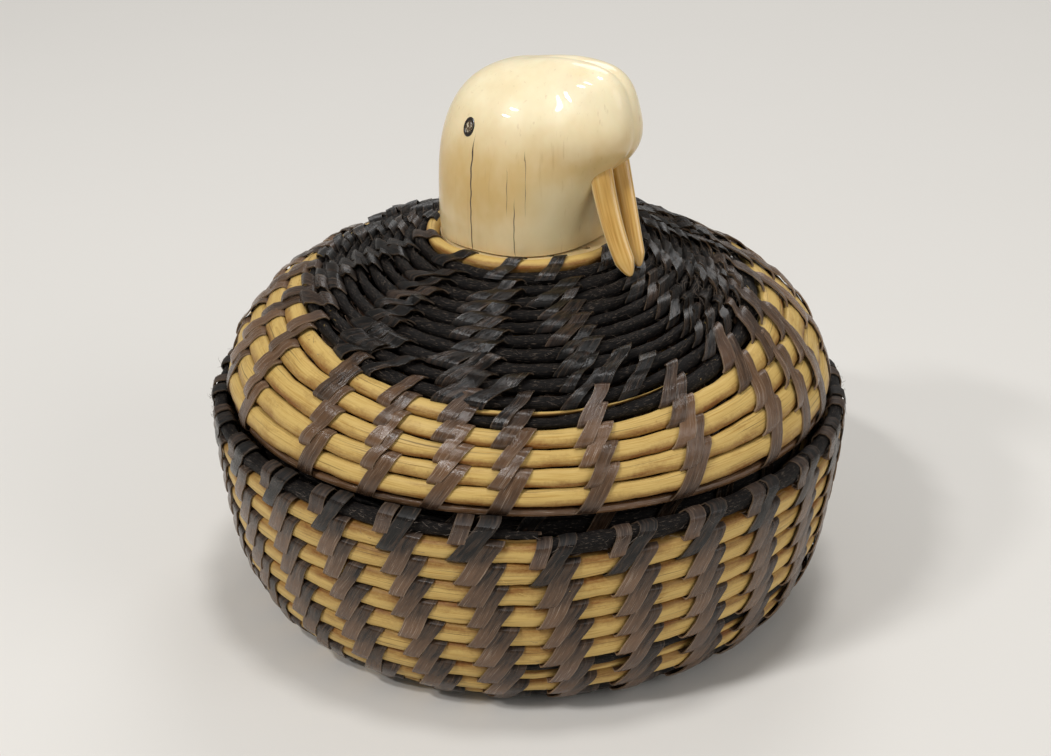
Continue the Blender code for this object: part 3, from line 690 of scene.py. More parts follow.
# Where two rods share a row: turn, then the shares of the row that the rod lies between
sharedEdges = {
    "upperDarkRod": ((9.98, 0.62, 1.0), (10.02, 0.42, 1.0), (10.36, 0.42, 1.0), (10.4, 0.6, 1.0)),
    "upperWallRods": ((10.4, 0.0, 0.7), (10.44, 0.0, 1), (15.6, 0.0, 1.0), (16.0, 0.0, 0.82)),
    "rimRod": ((16.0, 0.05, 0.95), (16.7, 0.0, 0.9), (17.0, -0.25, 0.6)),
    "lidDarkRods": ((11.4, 0.0, 1.0), (11.46, 0.12, 1.0), (11.54, 0.36, 1.0)),
    "lidLightRods": ((16.0, 0.0, 1.0), (16.02, 0.0, 0.72), (16.05, 0.0, 0.46), (16.09, 0.0, 0.28),
                     (16.13, 0.0, 0.2)),
    "upperLightSliver": ((9.97, 0.0, 0.6), (10.02, 0.0, 0.4), (10.36, 0.0, 0.4),
                         (10.41, 0.0, 0.25)),
    "lidLightSliver": ((11.4, 0.0, 0.02), (11.545, 0.0, 0.34)),
}
rodGroups = [
    # rods, coil, body, seed
    (basketRods, basketCoil, "basket", 100),
    (lidRods, lidCoil, "lid", 500),
    (basketSlivers, basketCoil, "basket", 700),
    (lidSlivers, lidCoil, "lid", 740),
    (flangeRods, flangeCoil, "lid", 900),
]
rodFinish = {"light": (lightRodMaterial, "light_rod"), "dark": (darkRodMaterial, "dark_rod")}

for rods, coil, body, seed in rodGroups:
    for i, (name, node, start, end, look, colour) in enumerate(rods):
        material, slotName = rodFinish[colour]
        obj = windRod(name, coil, start, end, rodLooks[look], material, seed + 40 * i,
                      sharedEdges.get(name, wholeRow))
        rideAs(obj, body, (node,) if node else ())
print("rods wound")


def isLight(rods, turn):
    # 1 where the rod at that turn is light
    light = np.zeros_like(turn)
    for _, _, start, end, _, colour in rods:
        if colour == "light":
            light = np.where((turn >= start) & (turn < end), 1.0, light)
    return light


# Sewing strips

stripThickness = 0.2 * mm


def layStrips(coil, rods, middleAngle, rodPath, offsetPath, sidePath, halfWidth, arch, tone, lot,
              twist=0.0):
    # Ribbons given by their path in the (row, offset) plane and a sideways shift round the axis.
    # Each section has three points above and three below, pushed out along the path's normal,
    # and a twist tips each over to one side or the other, by an amount of its own
    across = np.array([-1, 0, 1, 1, 0, -1.0])
    level = np.array([0.5, 0.5, 0.5, -0.5, -0.5, -0.5]) * stripThickness
    rings = rodPath.shape[1]
    ds, dn = np.gradient(rodPath * coil["pitch"], axis=1), np.gradient(offsetPath, axis=1)
    size = np.hypot(ds, dn) + 1e-9
    normalRow, normalOut = -dn / size, ds / size
    firstRow = rowAt(coil, middleAngle, middleAngle, rodPath[:, rings // 2])
    radius = radiusOf(coil, firstRow, middleAngle)[:, None]
    tip = twist * (2 * lot - 1)[:, None, None]
    lift = level + arch[:, None, None] * (1 - across**2) + tip * across + np.abs(tip)
    side = sidePath[..., None] + across * halfWidth[..., None]
    angle = middleAngle[:, None, None] + side / radius[..., None]
    rod = rodPath[..., None] + normalRow[..., None] * lift / coil["pitch"]
    row = rowAt(coil, angle, middleAngle[:, None, None], rod)
    points = placeOn(coil, row, angle, offsetPath[..., None] + normalOut[..., None] * lift)
    uAlong = np.cumsum(np.hypot(size, np.gradient(sidePath, axis=1)), axis=1)
    vRound = np.concatenate([across, [-1.0]]) * halfWidth[..., None]
    firstTurn = (middleAngle[:, None] - coil["firstAngle"]) * coil["spin"] / fullTurn
    turn = np.floor(rodPath) + np.mod(firstTurn, 1)
    attributes = {
        "tone": tone[..., None],
        "lot": lot[:, None, None],
        "cut": np.abs(across)[None, None, :],
        "fold": np.abs(normalRow)[..., None],
        "overLight": isLight(rods, turn)[..., None],
    }
    return points, uAlong, vRound, attributes


def joinStrips(name, groups, body, replaced=()):
    # Groups of strips, all with the same number of rings, go into one mesh
    points, u, v = (np.concatenate([g[k] for g in groups]) for k in range(3))
    attributes = {
        key: np.concatenate([np.broadcast_to(g[3][key], g[0].shape[:3]) for g in groups])
        for key in groups[0][3]
    }
    rideAs(makeTubes(name, points, u, v, attributes, stripMaterial), body, replaced)


def overTwoRods(places, squareness, bridge):
    # Height over two rods, in half depths: each rod's crown, with the groove between bridged
    inRod = 2 * (places - np.floor(places)) - 1
    crown = rodCrown(inRod, squareness)
    between = np.where((places > 0.5) & (places < 1.5), bridge, 0)
    return np.maximum(crown, between)


def eased(value, low, high):
    t = np.clip((value - low) / (high - low), 0, 1)
    return t * t * (3 - 2 * t)


stripPlaces = np.array([0.0, 0.03, 0.09, 0.2, 0.45, 0.75, 1.0, 1.25, 1.55, 1.8, 1.91, 1.97, 2.0])
everyStrip = {
    "overlap": 1.1,  # height of the lower end over the next strip, in thicknesses
    "overlapEnds": (0.4, 0.6),  # shares of its length, from its lower end
    "knuckles": (0.3, 1.3),  # least and most, in shares of a look's own knuckle
    "knuckleAt": 0.35,  # rods from the lower end
    "knuckleWidth": 0.2,
    "rodWidth": 2.2 * mm,  # what the crinkles take a rod's width to be
    "crinkleShift": 9 * mm,  # from one strip's crinkles to the next one's
    "crinkleWaves": (5 * mm, 0.8 * mm),
    "runs": (0.85, 1.15),
    "bend": 0.12 * mm,
    "taper": 0.07,
    "shade": 0.09,
    "lightest": 1.15,
    "darkens": (0.3, 0.75),  # shares of its length between which its painted shade sets in
    "arches": (0.03, 0.12),  # mm that its middle stands above its edges
}
wallStrips = {
    "halfWidth": 1.38 * mm,  # measured level, the strip being slanted
    "run": 3.9 * mm,  # sideways over its two rods
    "squareness": 4.5,
    "bridge": 0.95,
    "clearance": 0.08 * mm,
    "dip": 0.3,  # height at its two ends, in half depths
    "knuckle": 0.0,  # hump where it comes out between two rods
    "crinkle": 0.03 * mm,
    "spread": 0.12,  # of the widths
    "stray": 0.12 * mm,  # sideways
    "paintedShadeTop": 0.85,  # painted shade: how much darker its upper half is, where the strip above covers it, or, less than 0, how much lighter its lower half is
    "twist": 0.0,
}
baseStrips = {**wallStrips, "halfWidth": 1.15 * mm, "run": 2.6 * mm}
lidStrips = {
    "halfWidth": 1.2 * mm,
    "run": 3.4 * mm,
    "squareness": 3.2,
    "bridge": 0.9,
    "clearance": 0.06 * mm,
    "dip": 0.35,
    "knuckle": 0.22 * mm,
    "crinkle": 0.1 * mm,
    "spread": 0.2,
    "stray": 0.2 * mm,
    "paintedShadeTop": -0.3,
    "twist": 0.14 * mm,
}
crownStrips = {
    "halfWidth": 1.28 * mm,
    "run": 6.0 * mm,
    "squareness": 2.5,
    "bridge": 0.75,
    "clearance": 0.05 * mm,
    "dip": 0.25,
    "knuckle": 0.75 * mm,
    "crinkle": 0.14 * mm,
    "spread": 0.35,
    "stray": 0.35 * mm,
    "paintedShadeTop": -0.1,
    "twist": 0.24 * mm,
}
startStrips = {
    **crownStrips, "halfWidth": 1.25 * mm, "run": 3.6 * mm, "knuckle": 0.25 * mm, "spread": 0.1,
    "stray": 0.1 * mm, "crinkle": 0.05 * mm, "squareness": 2.8, "dip": 0.45, "twist": 0.0,
}


def twoRodStrips(coil, rods, angle, rod, look, chance, tone, inside=False):
    # One strip over rods rod and rod + 1 at each angle, slanting up to the right. It follows
    # the rods' crowns, plus a Gauss hump where it comes out and the size of a sum of sines for
    # its crinkles. Its lower end lies over the next strip and dives between two rods
    count = len(angle)

    def drawn(low, high):
        return chance.uniform(low, high, count)[:, None]

    def strayed(size):
        return chance.normal(0, size, count)[:, None]

    places = np.broadcast_to(stripPlaces, (count, len(stripPlaces)))
    rise = np.maximum(overTwoRods(places, look["squareness"], look["bridge"]), look["dip"])
    upper = places / 2 if coil["spin"] > 0 else 1 - places / 2
    layer = 0 * places if inside else eased(upper, *everyStrip["overlapEnds"])
    offset = rise * coil["depth"] / 2 + look["clearance"] + stripThickness / 2
    offset = offset + (1 - layer) * stripThickness * everyStrip["overlap"]
    fromFold = (places if coil["spin"] < 0 else 2 - places) - everyStrip["knuckleAt"]
    hump = np.exp(-((fromFold / everyStrip["knuckleWidth"]) ** 2))
    offset = offset + look["knuckle"] * drawn(*everyStrip["knuckles"]) * hump
    shift = everyStrip["crinkleShift"] * np.arange(count)[:, None]
    crinkles = wander(places * everyStrip["rodWidth"] + shift, int(chance.integers(9999)),
                      *everyStrip["crinkleWaves"], 1.0)
    offset = offset + look["crinkle"] * np.abs(crinkles)
    run = look["run"] * drawn(*everyStrip["runs"]) * (places / 2 - 0.5)
    run = run + strayed(look["stray"])
    bend = strayed(everyStrip["bend"]) * np.sin(np.pi * places)
    width = look["halfWidth"] * drawn(1 - look["spread"], 1 + look["spread"])
    width = width * (1 + strayed(everyStrip["taper"]) * (upper - 0.5) * 2)
    lot = chance.uniform(0, 1, count)
    shade = np.clip(tone + chance.normal(0, everyStrip["shade"], count), 0, 1)[:, None]
    # Painted shade on the end that lies under the next strip: its tone is darker there than at its other
    # end
    darker = eased(upper if look["paintedShadeTop"] > 0 else 1 - upper, *everyStrip["darkens"])
    shade = shade * (everyStrip["lightest"] - look["paintedShadeTop"] * darker)
    arch = chance.uniform(*everyStrip["arches"], count) * mm
    if inside:
        offset, arch = -offset, -arch
    return layStrips(coil, rods, angle, rod[:, None] + places, offset,
                     coil["spin"] * run + bend, width, arch, shade, lot, look["twist"])


def edgeStrips(coil, rods, angle, firstRod, look, chance):
    # Strips that go over an edge, on a path given by rods and by offsets in half depths, and
    # slant by their run in proportion to the rods that they have passed
    rod = np.maximum(look["rod"], look["lowest"])[None] + np.zeros((len(angle), 1))

    def drawn(low, high):
        return chance.uniform(low, high, len(angle))[:, None]

    offset = look["offset"] * (coil["depth"] / 2 + look["clearance"]) + 0 * rod
    run = coil["spin"] * (rod / 2 - 0.5) * look["run"] * drawn(*look["runs"]) + look["shift"]
    width = look["halfWidth"] * drawn(*look["widths"]) + 0 * rod
    tone = np.clip(drawn(*look["tone"]) * look["fade"], 0, 1)
    arch = drawn(*look["arches"])[:, 0] * mm
    return layStrips(coil, rods, angle, firstRod + rod, offset, run, width, arch, tone,
                     drawn(0, 1)[:, 0])


# Out over the rod below the rim, over the rim rod, which is thinner, and down inside
rimRods = np.array([0.03, 0.06, 0.2, 0.55, 0.9, 1.15, 1.35, 1.6, 1.78, 1.88, 1.86, 1.6, 1.15])
rimStrips = {
    "rod": rimRods,
    "offset": np.array([0.3, 0.8, 1.03, 1.04, 1.0, 0.86, 0.86, 0.84, 0.66, 0.2, -0.4, -0.86, -0.8]),
    "fade": 1 - 0.6 * eased(rimRods, 1.2, 1.9),
    "clearance": 0.2 * mm,
    "lowest": 0.0,  # rod that it starts on, counted from the one below the rim
    "run": 5.4 * mm,
    "shift": 0.0,  # along the rim
    "halfWidth": 1.4 * mm,
    "widths": (0.85, 1.15),
    "runs": (0.8, 1.1),
    "arches": (0.05, 0.12),
    "tone": (0.0, 0.12),
}
smallRimStrips = {**rimStrips, "lowest": 0.95, "run": 2.4 * mm, "halfWidth": 1.15 * mm,
                  "tone": (0.35, 0.7), "shift": -2.2 * mm}
lidEdgeRods = np.array([0.02, 0.1, 0.3, 0.7, 1.0, 1.3, 1.65, 1.9, 2.1, 2.3, 2.42, 2.44, 2.3])
lidEdgeStrips = {
    "rod": lidEdgeRods,
    "offset": np.array([0.45, 0.85, 1.1, 1.06, 1.0, 1.06, 1.04, 0.95, 0.75, 0.55, 0.3, 0.0, -0.3]),
    "fade": 1.15 - 0.3 * lidEdgeRods,
    "clearance": 0.12 * mm,
    "lowest": 0.0,
    "run": 3.4 * mm,
    "shift": 0.0,
    "halfWidth": 1.45 * mm,
    "widths": (0.85, 1.1),
    "runs": (0.8, 1.1),
    "arches": (0.05, 0.12),
    "tone": (0.45, 0.75),
}
wallSewing = {
    # first rod, the one after the last, and tone
    "outside": (7, 15, 0.62),
    "inside": (6, 15, 0.4),
    "base": (0, 7, 0.25),
    "everyColumnFrom": 3,  # nearer to the disc there is room for every other column only
}


def wallAngle(column, row):
    return (columns["wallStart"] + fullTurn * column / columns["wallCount"]
            + columns["wallDrift"] * (row - columns["topRow"]))


def sewWallColumn(column):
    # Strips up the outside of the wall, and two kinds over the rim
    chance = np.random.default_rng(1000 + column)
    first, last, tone = wallSewing["outside"]
    rods = np.arange(first, last)
    angle = wallAngle(column, rods + 1.0)
    top = np.array([wallAngle(column, last + 1)])
    groups = [twoRodStrips(basketCoil, basketRods, angle, rods, wallStrips, chance, tone)]
    for look in (rimStrips, smallRimStrips):
        groups.append(edgeStrips(basketCoil, basketRods, top, last, look, chance))
    joinStrips(f"wallStitches{column + 1:02d}", groups, "basket", (f"wall_stitches_{column + 1:02d}",))


for column in range(columns["wallCount"]):
    sewWallColumn(column)

chance = np.random.default_rng(2000)
first, last, tone = wallSewing["inside"]
grid = np.array([(c, r) for c in range(columns["wallCount"]) for r in range(first, last)])
insideAngle = wallAngle(grid[:, 0] + 0.5, grid[:, 1] + 1.0)
joinStrips("wallStitchesInside", [twoRodStrips(
    basketCoil, basketRods, insideAngle, grid[:, 1], wallStrips, chance, tone, inside=True)],
    "basket")

first, last, tone = wallSewing["base"]
grid = np.array([(c, r) for c in range(columns["wallCount"]) for r in range(first, last)
                 if c % 2 == 0 or r >= wallSewing["everyColumnFrom"]])
baseAngle = wallAngle(grid[:, 0], grid[:, 1] + 1.0)
joinStrips("baseStitches", [
    twoRodStrips(basketCoil, basketRods, baseAngle, grid[:, 1], baseStrips, chance, tone, inside=side)
    for side in (False, True)], "basket")
print("wall sewn")

# Each column of the lid: degrees from the front, to the right, at the disc and at the edge,
# then at the edge for the column that branches off it
lidColumns = [
    (12.4, 12.2, 30.0),
    (45.7, 50.7, 61.0),
    (72, 71.1, 87),
    (102, 102, 117),
    (132, 132, 147),
    (162, 162, 177),
    (192, 192, 207),
    (222, 222, 237),
    (252, 252, 267),
    (282, 282, 297),
    (319, 319.4, 333.4),
    (348.7, 345.5, 357.0),
]
lidSewing = {
    "lastRod": 14,  # the strips over the edge start here
    "branchRod": 7,  # first rod of a branch
    "branchRods": 3,  # rods that it takes to reach its own bearing
    "crownRods": 10,  # rods under the dark straps of the crown
    "shoulderRods": 12,
    "tones": (0.0, 0.3, 0.6),  # of the crown, the shoulder and the rest
}
underside = {
    "columns": 24,
    "firstBearing": -82,
    "rods": 14,
    "everyColumnFrom": 7,
    "tone": 0.3,
}


def sewLidColumn(index):
    # A column moves evenly from its bearing at the disc to the one at the edge, and its branch
    # goes from there to its own over a few rods
    chance = np.random.default_rng(3000 + index)
    front, outer, branch = lidColumns[index]
    look = lidSewing
    groups = []
    for start, lean, firstRod in ((front, outer, 0), (outer, branch, look["branchRod"])):
        rods = np.arange(firstRod, look["lastRod"])
        rods = rods[rods != 1]  # the broad first strip shows in full
        if firstRod:
            share = np.clip((rods - firstRod) / look["branchRods"], 0, 1)
        else:
            share = np.clip((rods - 1) / look["lastRod"], 0, 1)
        angle = np.radians(-90 + start + (lean - start) * share)
        crown = rods < look["crownRods"]
        tone = np.select([crown, rods < look["shoulderRods"]], look["tones"][:2], look["tones"][2])
        first = rods == 0
        kinds = ((first, startStrips), (crown & ~first, crownStrips), (~crown, lidStrips))
        for chosen, strips in kinds:
            if chosen.any():
                groups.append(twoRodStrips(lidCoil, lidRods, angle[chosen], rods[chosen], strips,
                                           chance, tone[chosen]))
        groups.append(edgeStrips(lidCoil, lidRods, angle[-1:], look["lastRod"], lidEdgeStrips, chance))
    joinStrips(f"lidStitches{index + 1:02d}", groups, "lid", (f"lid_stitches_{index + 1:02d}",))


for index in range(len(lidColumns)):
    sewLidColumn(index)

chance = np.random.default_rng(4000)
grid = np.array([(c, r) for c in range(underside["columns"]) for r in range(underside["rods"])
                 if c % 2 == 0 or r >= underside["everyColumnFrom"]])
undersideAngle = np.radians(underside["firstBearing"] + 360 / underside["columns"] * grid[:, 0])
joinStrips("lidStitchesInside", [twoRodStrips(
    lidCoil, lidRods, undersideAngle, grid[:, 1], crownStrips, chance, underside["tone"],
    inside=True)], "lid")
flangeStrips = 28
flangeAngle = np.arange(flangeStrips) * fullTurn / flangeStrips
joinStrips("flangeStitches", [
    twoRodStrips(flangeCoil, lidRods, flangeAngle, np.ones(flangeStrips), lidStrips, chance, 0.0,
                 inside=side) for side in (False, True)], "lid")
print("lid sewn")

# Torn fibres that stand off the rods

coils = {"basket": basketCoil, "lid": lidCoil}
fibreFinish = {"dark": (fibreMaterial, "dark_rod"), "light": (lightRodMaterial, "light_rod")}
fuzz = [
    # piece, coil, how many, rows, bearings from the front, lengths and radius in mm, colour
    ("lidFuzz", "lid", 2600, (1.2, 11.5), (-180, 180), (0.35, 1.3), 0.03, "dark"),
    ("lidHairs", "lid", 460, (3.5, 10.5), (55, 170), (1.8, 5.0), 0.045, "dark"),
    ("rimFuzz", "basket", 420, (15.9, 16.9), (-180, 180), (0.4, 1.6), 0.03, "dark"),
    ("wallFuzz", "basket", 200, (6.0, 16.0), (-180, 180), (0.3, 1.0), 0.025, "dark"),
    ("paleFibres", "basket", 30, (11.0, 16.2), (-8, 30), (0.6, 2.2), 0.05, "light"),
    ("lidPaleFibres", "lid", 160, (9.0, 15.5), (-140, 140), (0.2, 0.8), 0.04, "light"),
]
thread = {
    "along": np.array([0.0, 0.35, 0.7, 1.0]),  # where its rings are, in shares of its length
    "thickness": np.array([1.0, 0.9, 0.7, 0.3]),
    "root": 0.93,  # height that it leaves from, in half depths of a rod
    "highest": 1.5 * mm,  # a long hair lies lower than its length would lift it
}


def layFuzz(name, coil, count, rows, bearings, lengths, radius, material, seed):
    # Each thread leaves a rod's crown and bends along and across it as t and t^2, and rises as
    # t sin(pi (0.15 + 0.6 t)): a three-sided tube over four rings
    chance = np.random.default_rng(seed)
    bearing = chance.uniform(*np.radians(np.array(bearings) - 90.0), count)
    rod = np.floor(chance.uniform(*rows, count)) + chance.uniform(0.25, 0.75, count)
    size = chance.uniform(*lengths, count)[:, None] * mm
    t = thread["along"]
    way = chance.uniform(-1, 1, (3, count))[:, :, None]
    curl = chance.uniform(-1, 1, (2, count))[:, :, None]
    along = size * (way[0] * t + 0.4 * curl[0] * t**2)
    across = size * (0.5 * way[1] * t + 0.5 * curl[1] * t**2)
    lift = np.minimum(size, thread["highest"]) * (0.25 + 0.3 * np.abs(way[2]))
    lift = lift * np.sin(np.pi * (0.15 + 0.6 * t)) * t
    corner = np.radians([90, 210, 330])
    thin = radius * mm * thread["thickness"][None, :, None]
    middle = bearing[:, None, None]
    angle = middle + along[..., None] / radiusOf(coil, rod, bearing)[:, None, None]
    row = rowAt(coil, angle, middle, rod[:, None, None])
    row = row + (across[..., None] + thin * np.cos(corner)) / coil["pitch"]
    offset = coil["depth"] / 2 * thread["root"] + lift[..., None] + thin * np.sin(corner)
    return makeTubes(name, placeOn(coil, row, angle, offset), np.linspace(0, 2 * mm, len(t)),
                     np.linspace(0, 0.3 * mm, 4), {"edge": 0.2, "nearStrip": 0.5}, material)


for i, (name, body, count, rows, bearings, lengths, radius, colour) in enumerate(fuzz):
    material, slotName = fibreFinish[colour]
    obj = layFuzz(name, coils[body], count, rows, bearings, lengths, radius, material, 5000 + i)
    rideAs(obj, body)
print("fibres frayed")

# Band under the lid's edge

band = {
    "radius": 45.75 * mm,
    "top": 35.5 * mm,
    "height": 1.05 * mm,
    "thickness": 1.1 * mm,
    "squareness": 5.0,
    "sway": 0.04 * mm,
    "swayWaves": (60 * mm, 12 * mm),
    "tone": 0.85,
    "toneSway": 0.15,
    "toneWaves": (40 * mm, 5 * mm),
    "rings": 219,
    "sides": 12,
}


def makeBand(look):
    # A flat ring: a superellipse section swept once round, with a slow sway
    around = np.arange(look["rings"]) * fullTurn / look["rings"]
    c, s = superellipse(np.linspace(0, fullTurn, look["sides"], endpoint=False), look["squareness"])
    length = around * look["radius"]
    sway = wander(length, 61, *look["swayWaves"], look["sway"])[:, None]
    radius = look["radius"] + look["thickness"] / 2 * c + sway
    height = look["top"] - look["height"] / 2 + look["height"] / 2 * s + 0.5 * sway
    angle = np.pi / 2 - around[:, None]
    points = np.stack([radius * np.cos(angle), radius * np.sin(angle), height], -1)
    tone = look["tone"] + wander(length, 62, *look["toneWaves"], look["toneSway"])
    obj = makeTubes("lidBand", points[None], length, np.linspace(0, 4 * mm, look["sides"] + 1),
                    {"tone": tone[None, :, None], "lot": 0.5, "overLight": 1.0, "cut": 0.0,
                     "fold": 0.3}, stripMaterial)
    rideAs(obj, "lid", ("lid_rim_band",))


makeBand(band)

# Walrus head: a few rounded masses run together. Millimetres from the middle of its base,
# forward, to its left and up

head = {
    "yaw": np.radians(-36),
    "base": 59.4,
    "heart": np.array([3.0, 0.0, 13.0]),
    "blend": 1.2,
    # centre, half sizes, squareness upright and in plan
    "masses": [
        ((-0.45, 0.0, 6.5), (12.05, 13.2, 18.9), 2.67, 2.42),  # skull and neck
        ((7.0, 0.0, 17.4), (9.65, 7.6, 6.2), 2.0, 2.6),  # bridge of the nose
        ((10.7, 1.65, 20.3), (5.55, 3.0, 5.65), 2.57, 2.17),  # whisker pads
        ((6.0, 2.8, 12.5), (7.3, 5.25, 7.85), 2.35, 2.1),  # cheeks
        ((8.85, 0.0, 20.5), (6.7, 2.65, 4.8), 2.7, 2.5),  # between the pads
    ],
    "around": 320,  # points of the grid round the head, down its side and in across its base
    "down": 200,
    "under": 6,
    "furthest": 45.0,  # no part of the head is as far from its heart
    "topGap": 0.004,  # angle of the small hole that the last fan closes
    "weathered": ((5, 10), (9, 14), (-2, 3)),  # grey patch: sets in forward, ends up and to the left
}


def headField(points):
    # Smooth union: -k log(sum of e^(-d/k)), d being (size - 1) times each mass's least half
    # size, and size the superellipsoid's own measure of the point
    total = 0
    for centre, half, squareUp, squarePlan in head["masses"]:
        away = np.abs(points - np.array([centre[0], 0, centre[2]]))
        away[..., 1] = np.abs(np.abs(points[..., 1]) - centre[1])
        away = away / np.array(half)
        plan = (away[..., 0] ** squarePlan + away[..., 1] ** squarePlan) ** (1 / squarePlan)
        size = (plan**squareUp + away[..., 2] ** squareUp) ** (1 / squareUp)
        total = total + np.exp(-np.clip((size - 1) * min(half), -50, 50) / head["blend"])
    return -head["blend"] * np.log(total)


def reachInHead(start, directions, furthest):
    # Where each ray leaves the head, by halving the stretch that holds its surface
    near, far = np.zeros(len(directions)), furthest + np.zeros(len(directions))
    for _ in range(26):
        middle = (near + far) / 2
        inside = headField(start + directions * middle[:, None]) < 0
        near, far = np.where(inside, middle, near), np.where(inside, far, middle)
    return near


def headToWorld(points):
    # Millimetres from the base, turned by the yaw, to metres
    c, s = np.cos(head["yaw"]), np.sin(head["yaw"])
    x = points[..., 0] * c - points[..., 1] * s
    y = points[..., 0] * s + points[..., 1] * c
    return np.stack([x, y, points[..., 2] + head["base"]], -1) * mm


# Age cracks, in order round the head: bearing in degrees from the nose (minus is the head's
# right), its lower and upper end in millimetres up, sway, half width and darkness
cracks = [
    (-180.0, 0.0, 0.0, 0.0, 0.0, 0.0),  # the seam at the back, not a crack
    (-150.0, 2.0, 17.0, 1.0, 0.05, 0.7),
    (-94.0, 0.0, 17.5, 0.5, 0.13, 1.0),
    (-68.0, 7.5, 13.5, 0.4, 0.09, 0.6),
    (-63.5, 0.5, 9.0, 0.5, 0.1, 0.8),
    (-57.0, 7.0, 16.5, 0.5, 0.1, 0.65),
    (60.0, 2.0, 12.0, 1.0, 0.07, 0.7),
    (105.0, 6.0, 20.0, 1.2, 0.08, 0.8),
    (150.0, 1.0, 15.0, 1.0, 0.08, 0.8),
    (180.0, 0.0, 0.0, 0.0, 0.0, 0.0),  # the same seam
]


def crackMarks(points):
    # The phase counts the cracks round the head, a whole number on each, and the reach is a
    # crack's half width in the same measure, running out towards its two ends
    bearing = np.degrees(np.arctan2(points[..., 1], points[..., 0]))
    up = points[..., 2]
    places, low, high, swing, half, depth = np.array(cracks).T
    sway = sum(swing[i] * np.exp(-(((bearing - places[i]) / 5) ** 2))
               * wander(up, 70 + i, 14, 2.5, 0.5) for i in range(len(cracks)))
    phase = np.interp(bearing + sway, places, np.arange(len(cracks)))
    nearest = np.round(phase).astype(int)
    gaps = np.interp(phase, np.arange(len(cracks) - 1) + 0.5, np.diff(places))
    room = gaps * np.pi / 180 * np.hypot(points[..., 0], points[..., 1])
    ends = eased(up, low[nearest] - 1.5, low[nearest] + 1)
    ends = ends * (1 - eased(up, high[nearest] - 3, high[nearest] + 0.5))
    return phase, half[nearest] / room * ends, depth[nearest]


def makeHead():
    # A ray from the heart for each point of a globe-like grid, down to the outline of the base,
    # and a last few rings across the flat underside
    heart, furthest, top = head["heart"], head["furthest"], np.pi / 2 - head["topGap"]
    foot = heart * np.array([1, 1, 0])
    azimuth = np.linspace(0, fullTurn, head["around"], endpoint=False)
    level = np.stack([np.cos(azimuth), np.sin(azimuth), 0 * azimuth], -1)
    outline = reachInHead(foot, level, furthest)
    tilt = top + (-np.arctan2(heart[2], outline) - top) * np.linspace(0, 1, head["down"])[:, None]
    directions = np.stack([np.cos(tilt) * np.cos(azimuth), np.cos(tilt) * np.sin(azimuth),
                           np.sin(tilt)], -1).reshape(-1, 3)
    toBase = heart[2] / np.maximum(-directions[:, 2], 1e-6)
    reach = reachInHead(heart, directions, np.minimum(toBase, furthest))
    points = (heart + directions * reach[:, None]).reshape(*tilt.shape, 3)
    shrink = np.linspace(0.97, 0.05, head["under"])[:, None, None]
    flat = foot + (points[-1] - foot) * shrink * np.array([1, 1, 0])
    points = np.concatenate([points, flat])
    phase, crackReach, depth = crackMarks(points)
    forward, upward, left = head["weathered"]
    weathered = eased(points[..., 0], *forward) * (1 - eased(points[..., 2], *upward))
    weathered = weathered * (1 - eased(points[..., 1], *left))
    attributes = {"crackPhase": phase[None], "crackReach": crackReach[None],
                  "crackDepth": depth[None], "weathered": weathered[None]}
    obj = makeTubes("walrusHead", headToWorld(points)[None], np.linspace(0, 60 * mm, len(points)),
                    np.linspace(0, 80 * mm, len(azimuth) + 1), attributes, ivoryMaterial, sharp=60)
    rideAs(obj, "lid", ("walrus_head",))


makeHead()

tusks = [
    # piece, node, root, pull of the bend, tip, half width at the root
    ("leftTusk", "left_tusk", (13.7, 2.2, 17.0), (17.9, 0.5, 4.8), (21.0, -1.5, -1.35), 1.5),
    ("rightTusk", "right_tusk", (13.5, -2.2, 17.0), (15.9, -3.0, 5.0), (21.55, -4.5, -1.75), 1.85),
]
tuskShape = {
    "thickness": 0.6,  # to its width
    "taper": 0.24,
    "pointAt": 0.87,
    "facet": 3.2,
    "flatTowards": np.array([0.66, -0.75, 0.0]),
    "sides": 24,
}


def makeTusk(name, node, root, pull, tip, half):
    # Quadratic Bezier (1-t)^2 a + 2(1-t)t b + t^2 c, with a flat bevelled section, half an
    # ellipse and half a superellipse, narrowing as a square root to a rounded point
    look = tuskShape
    t = np.concatenate([np.linspace(0, 0.9, 30), 1 - np.geomspace(0.09, 0.002, 10)])[:, None]
    a, b, c = np.array(root), np.array(pull), np.array(tip)
    line = (1 - t) ** 2 * a + 2 * (1 - t) * t * b + t**2 * c
    along = np.gradient(line, axis=0)
    along /= np.linalg.norm(along, axis=1)[:, None]
    deep = look["flatTowards"] - along * (along @ look["flatTowards"])[:, None]
    deep /= np.linalg.norm(deep, axis=1)[:, None]
    wide = np.cross(along, deep)
    point = np.sqrt(np.clip((1 - t) / (1 - look["pointAt"]), 0, 1))
    radius = half * (1 - look["taper"] * t) * point
    phi = np.linspace(0, fullTurn, look["sides"], endpoint=False)
    level = np.cos(phi)[None, :, None]
    out = superellipse(phi, look["facet"])[1][None, :, None]
    points = line[:, None] + radius[:, None] * (
        level * wide[:, None] + look["thickness"] * out * deep[:, None])
    obj = makeTubes(name, headToWorld(points)[None], np.linspace(0, 21 * mm, len(t)),
                    np.linspace(0, 9 * mm, look["sides"] + 1),
                    {"edge": np.abs(np.cos(phi))[None, None, :]}, tuskMaterial)
    rideAs(obj, "lid", (node,))


for tusk in tusks:
    makeTusk(*tusk)

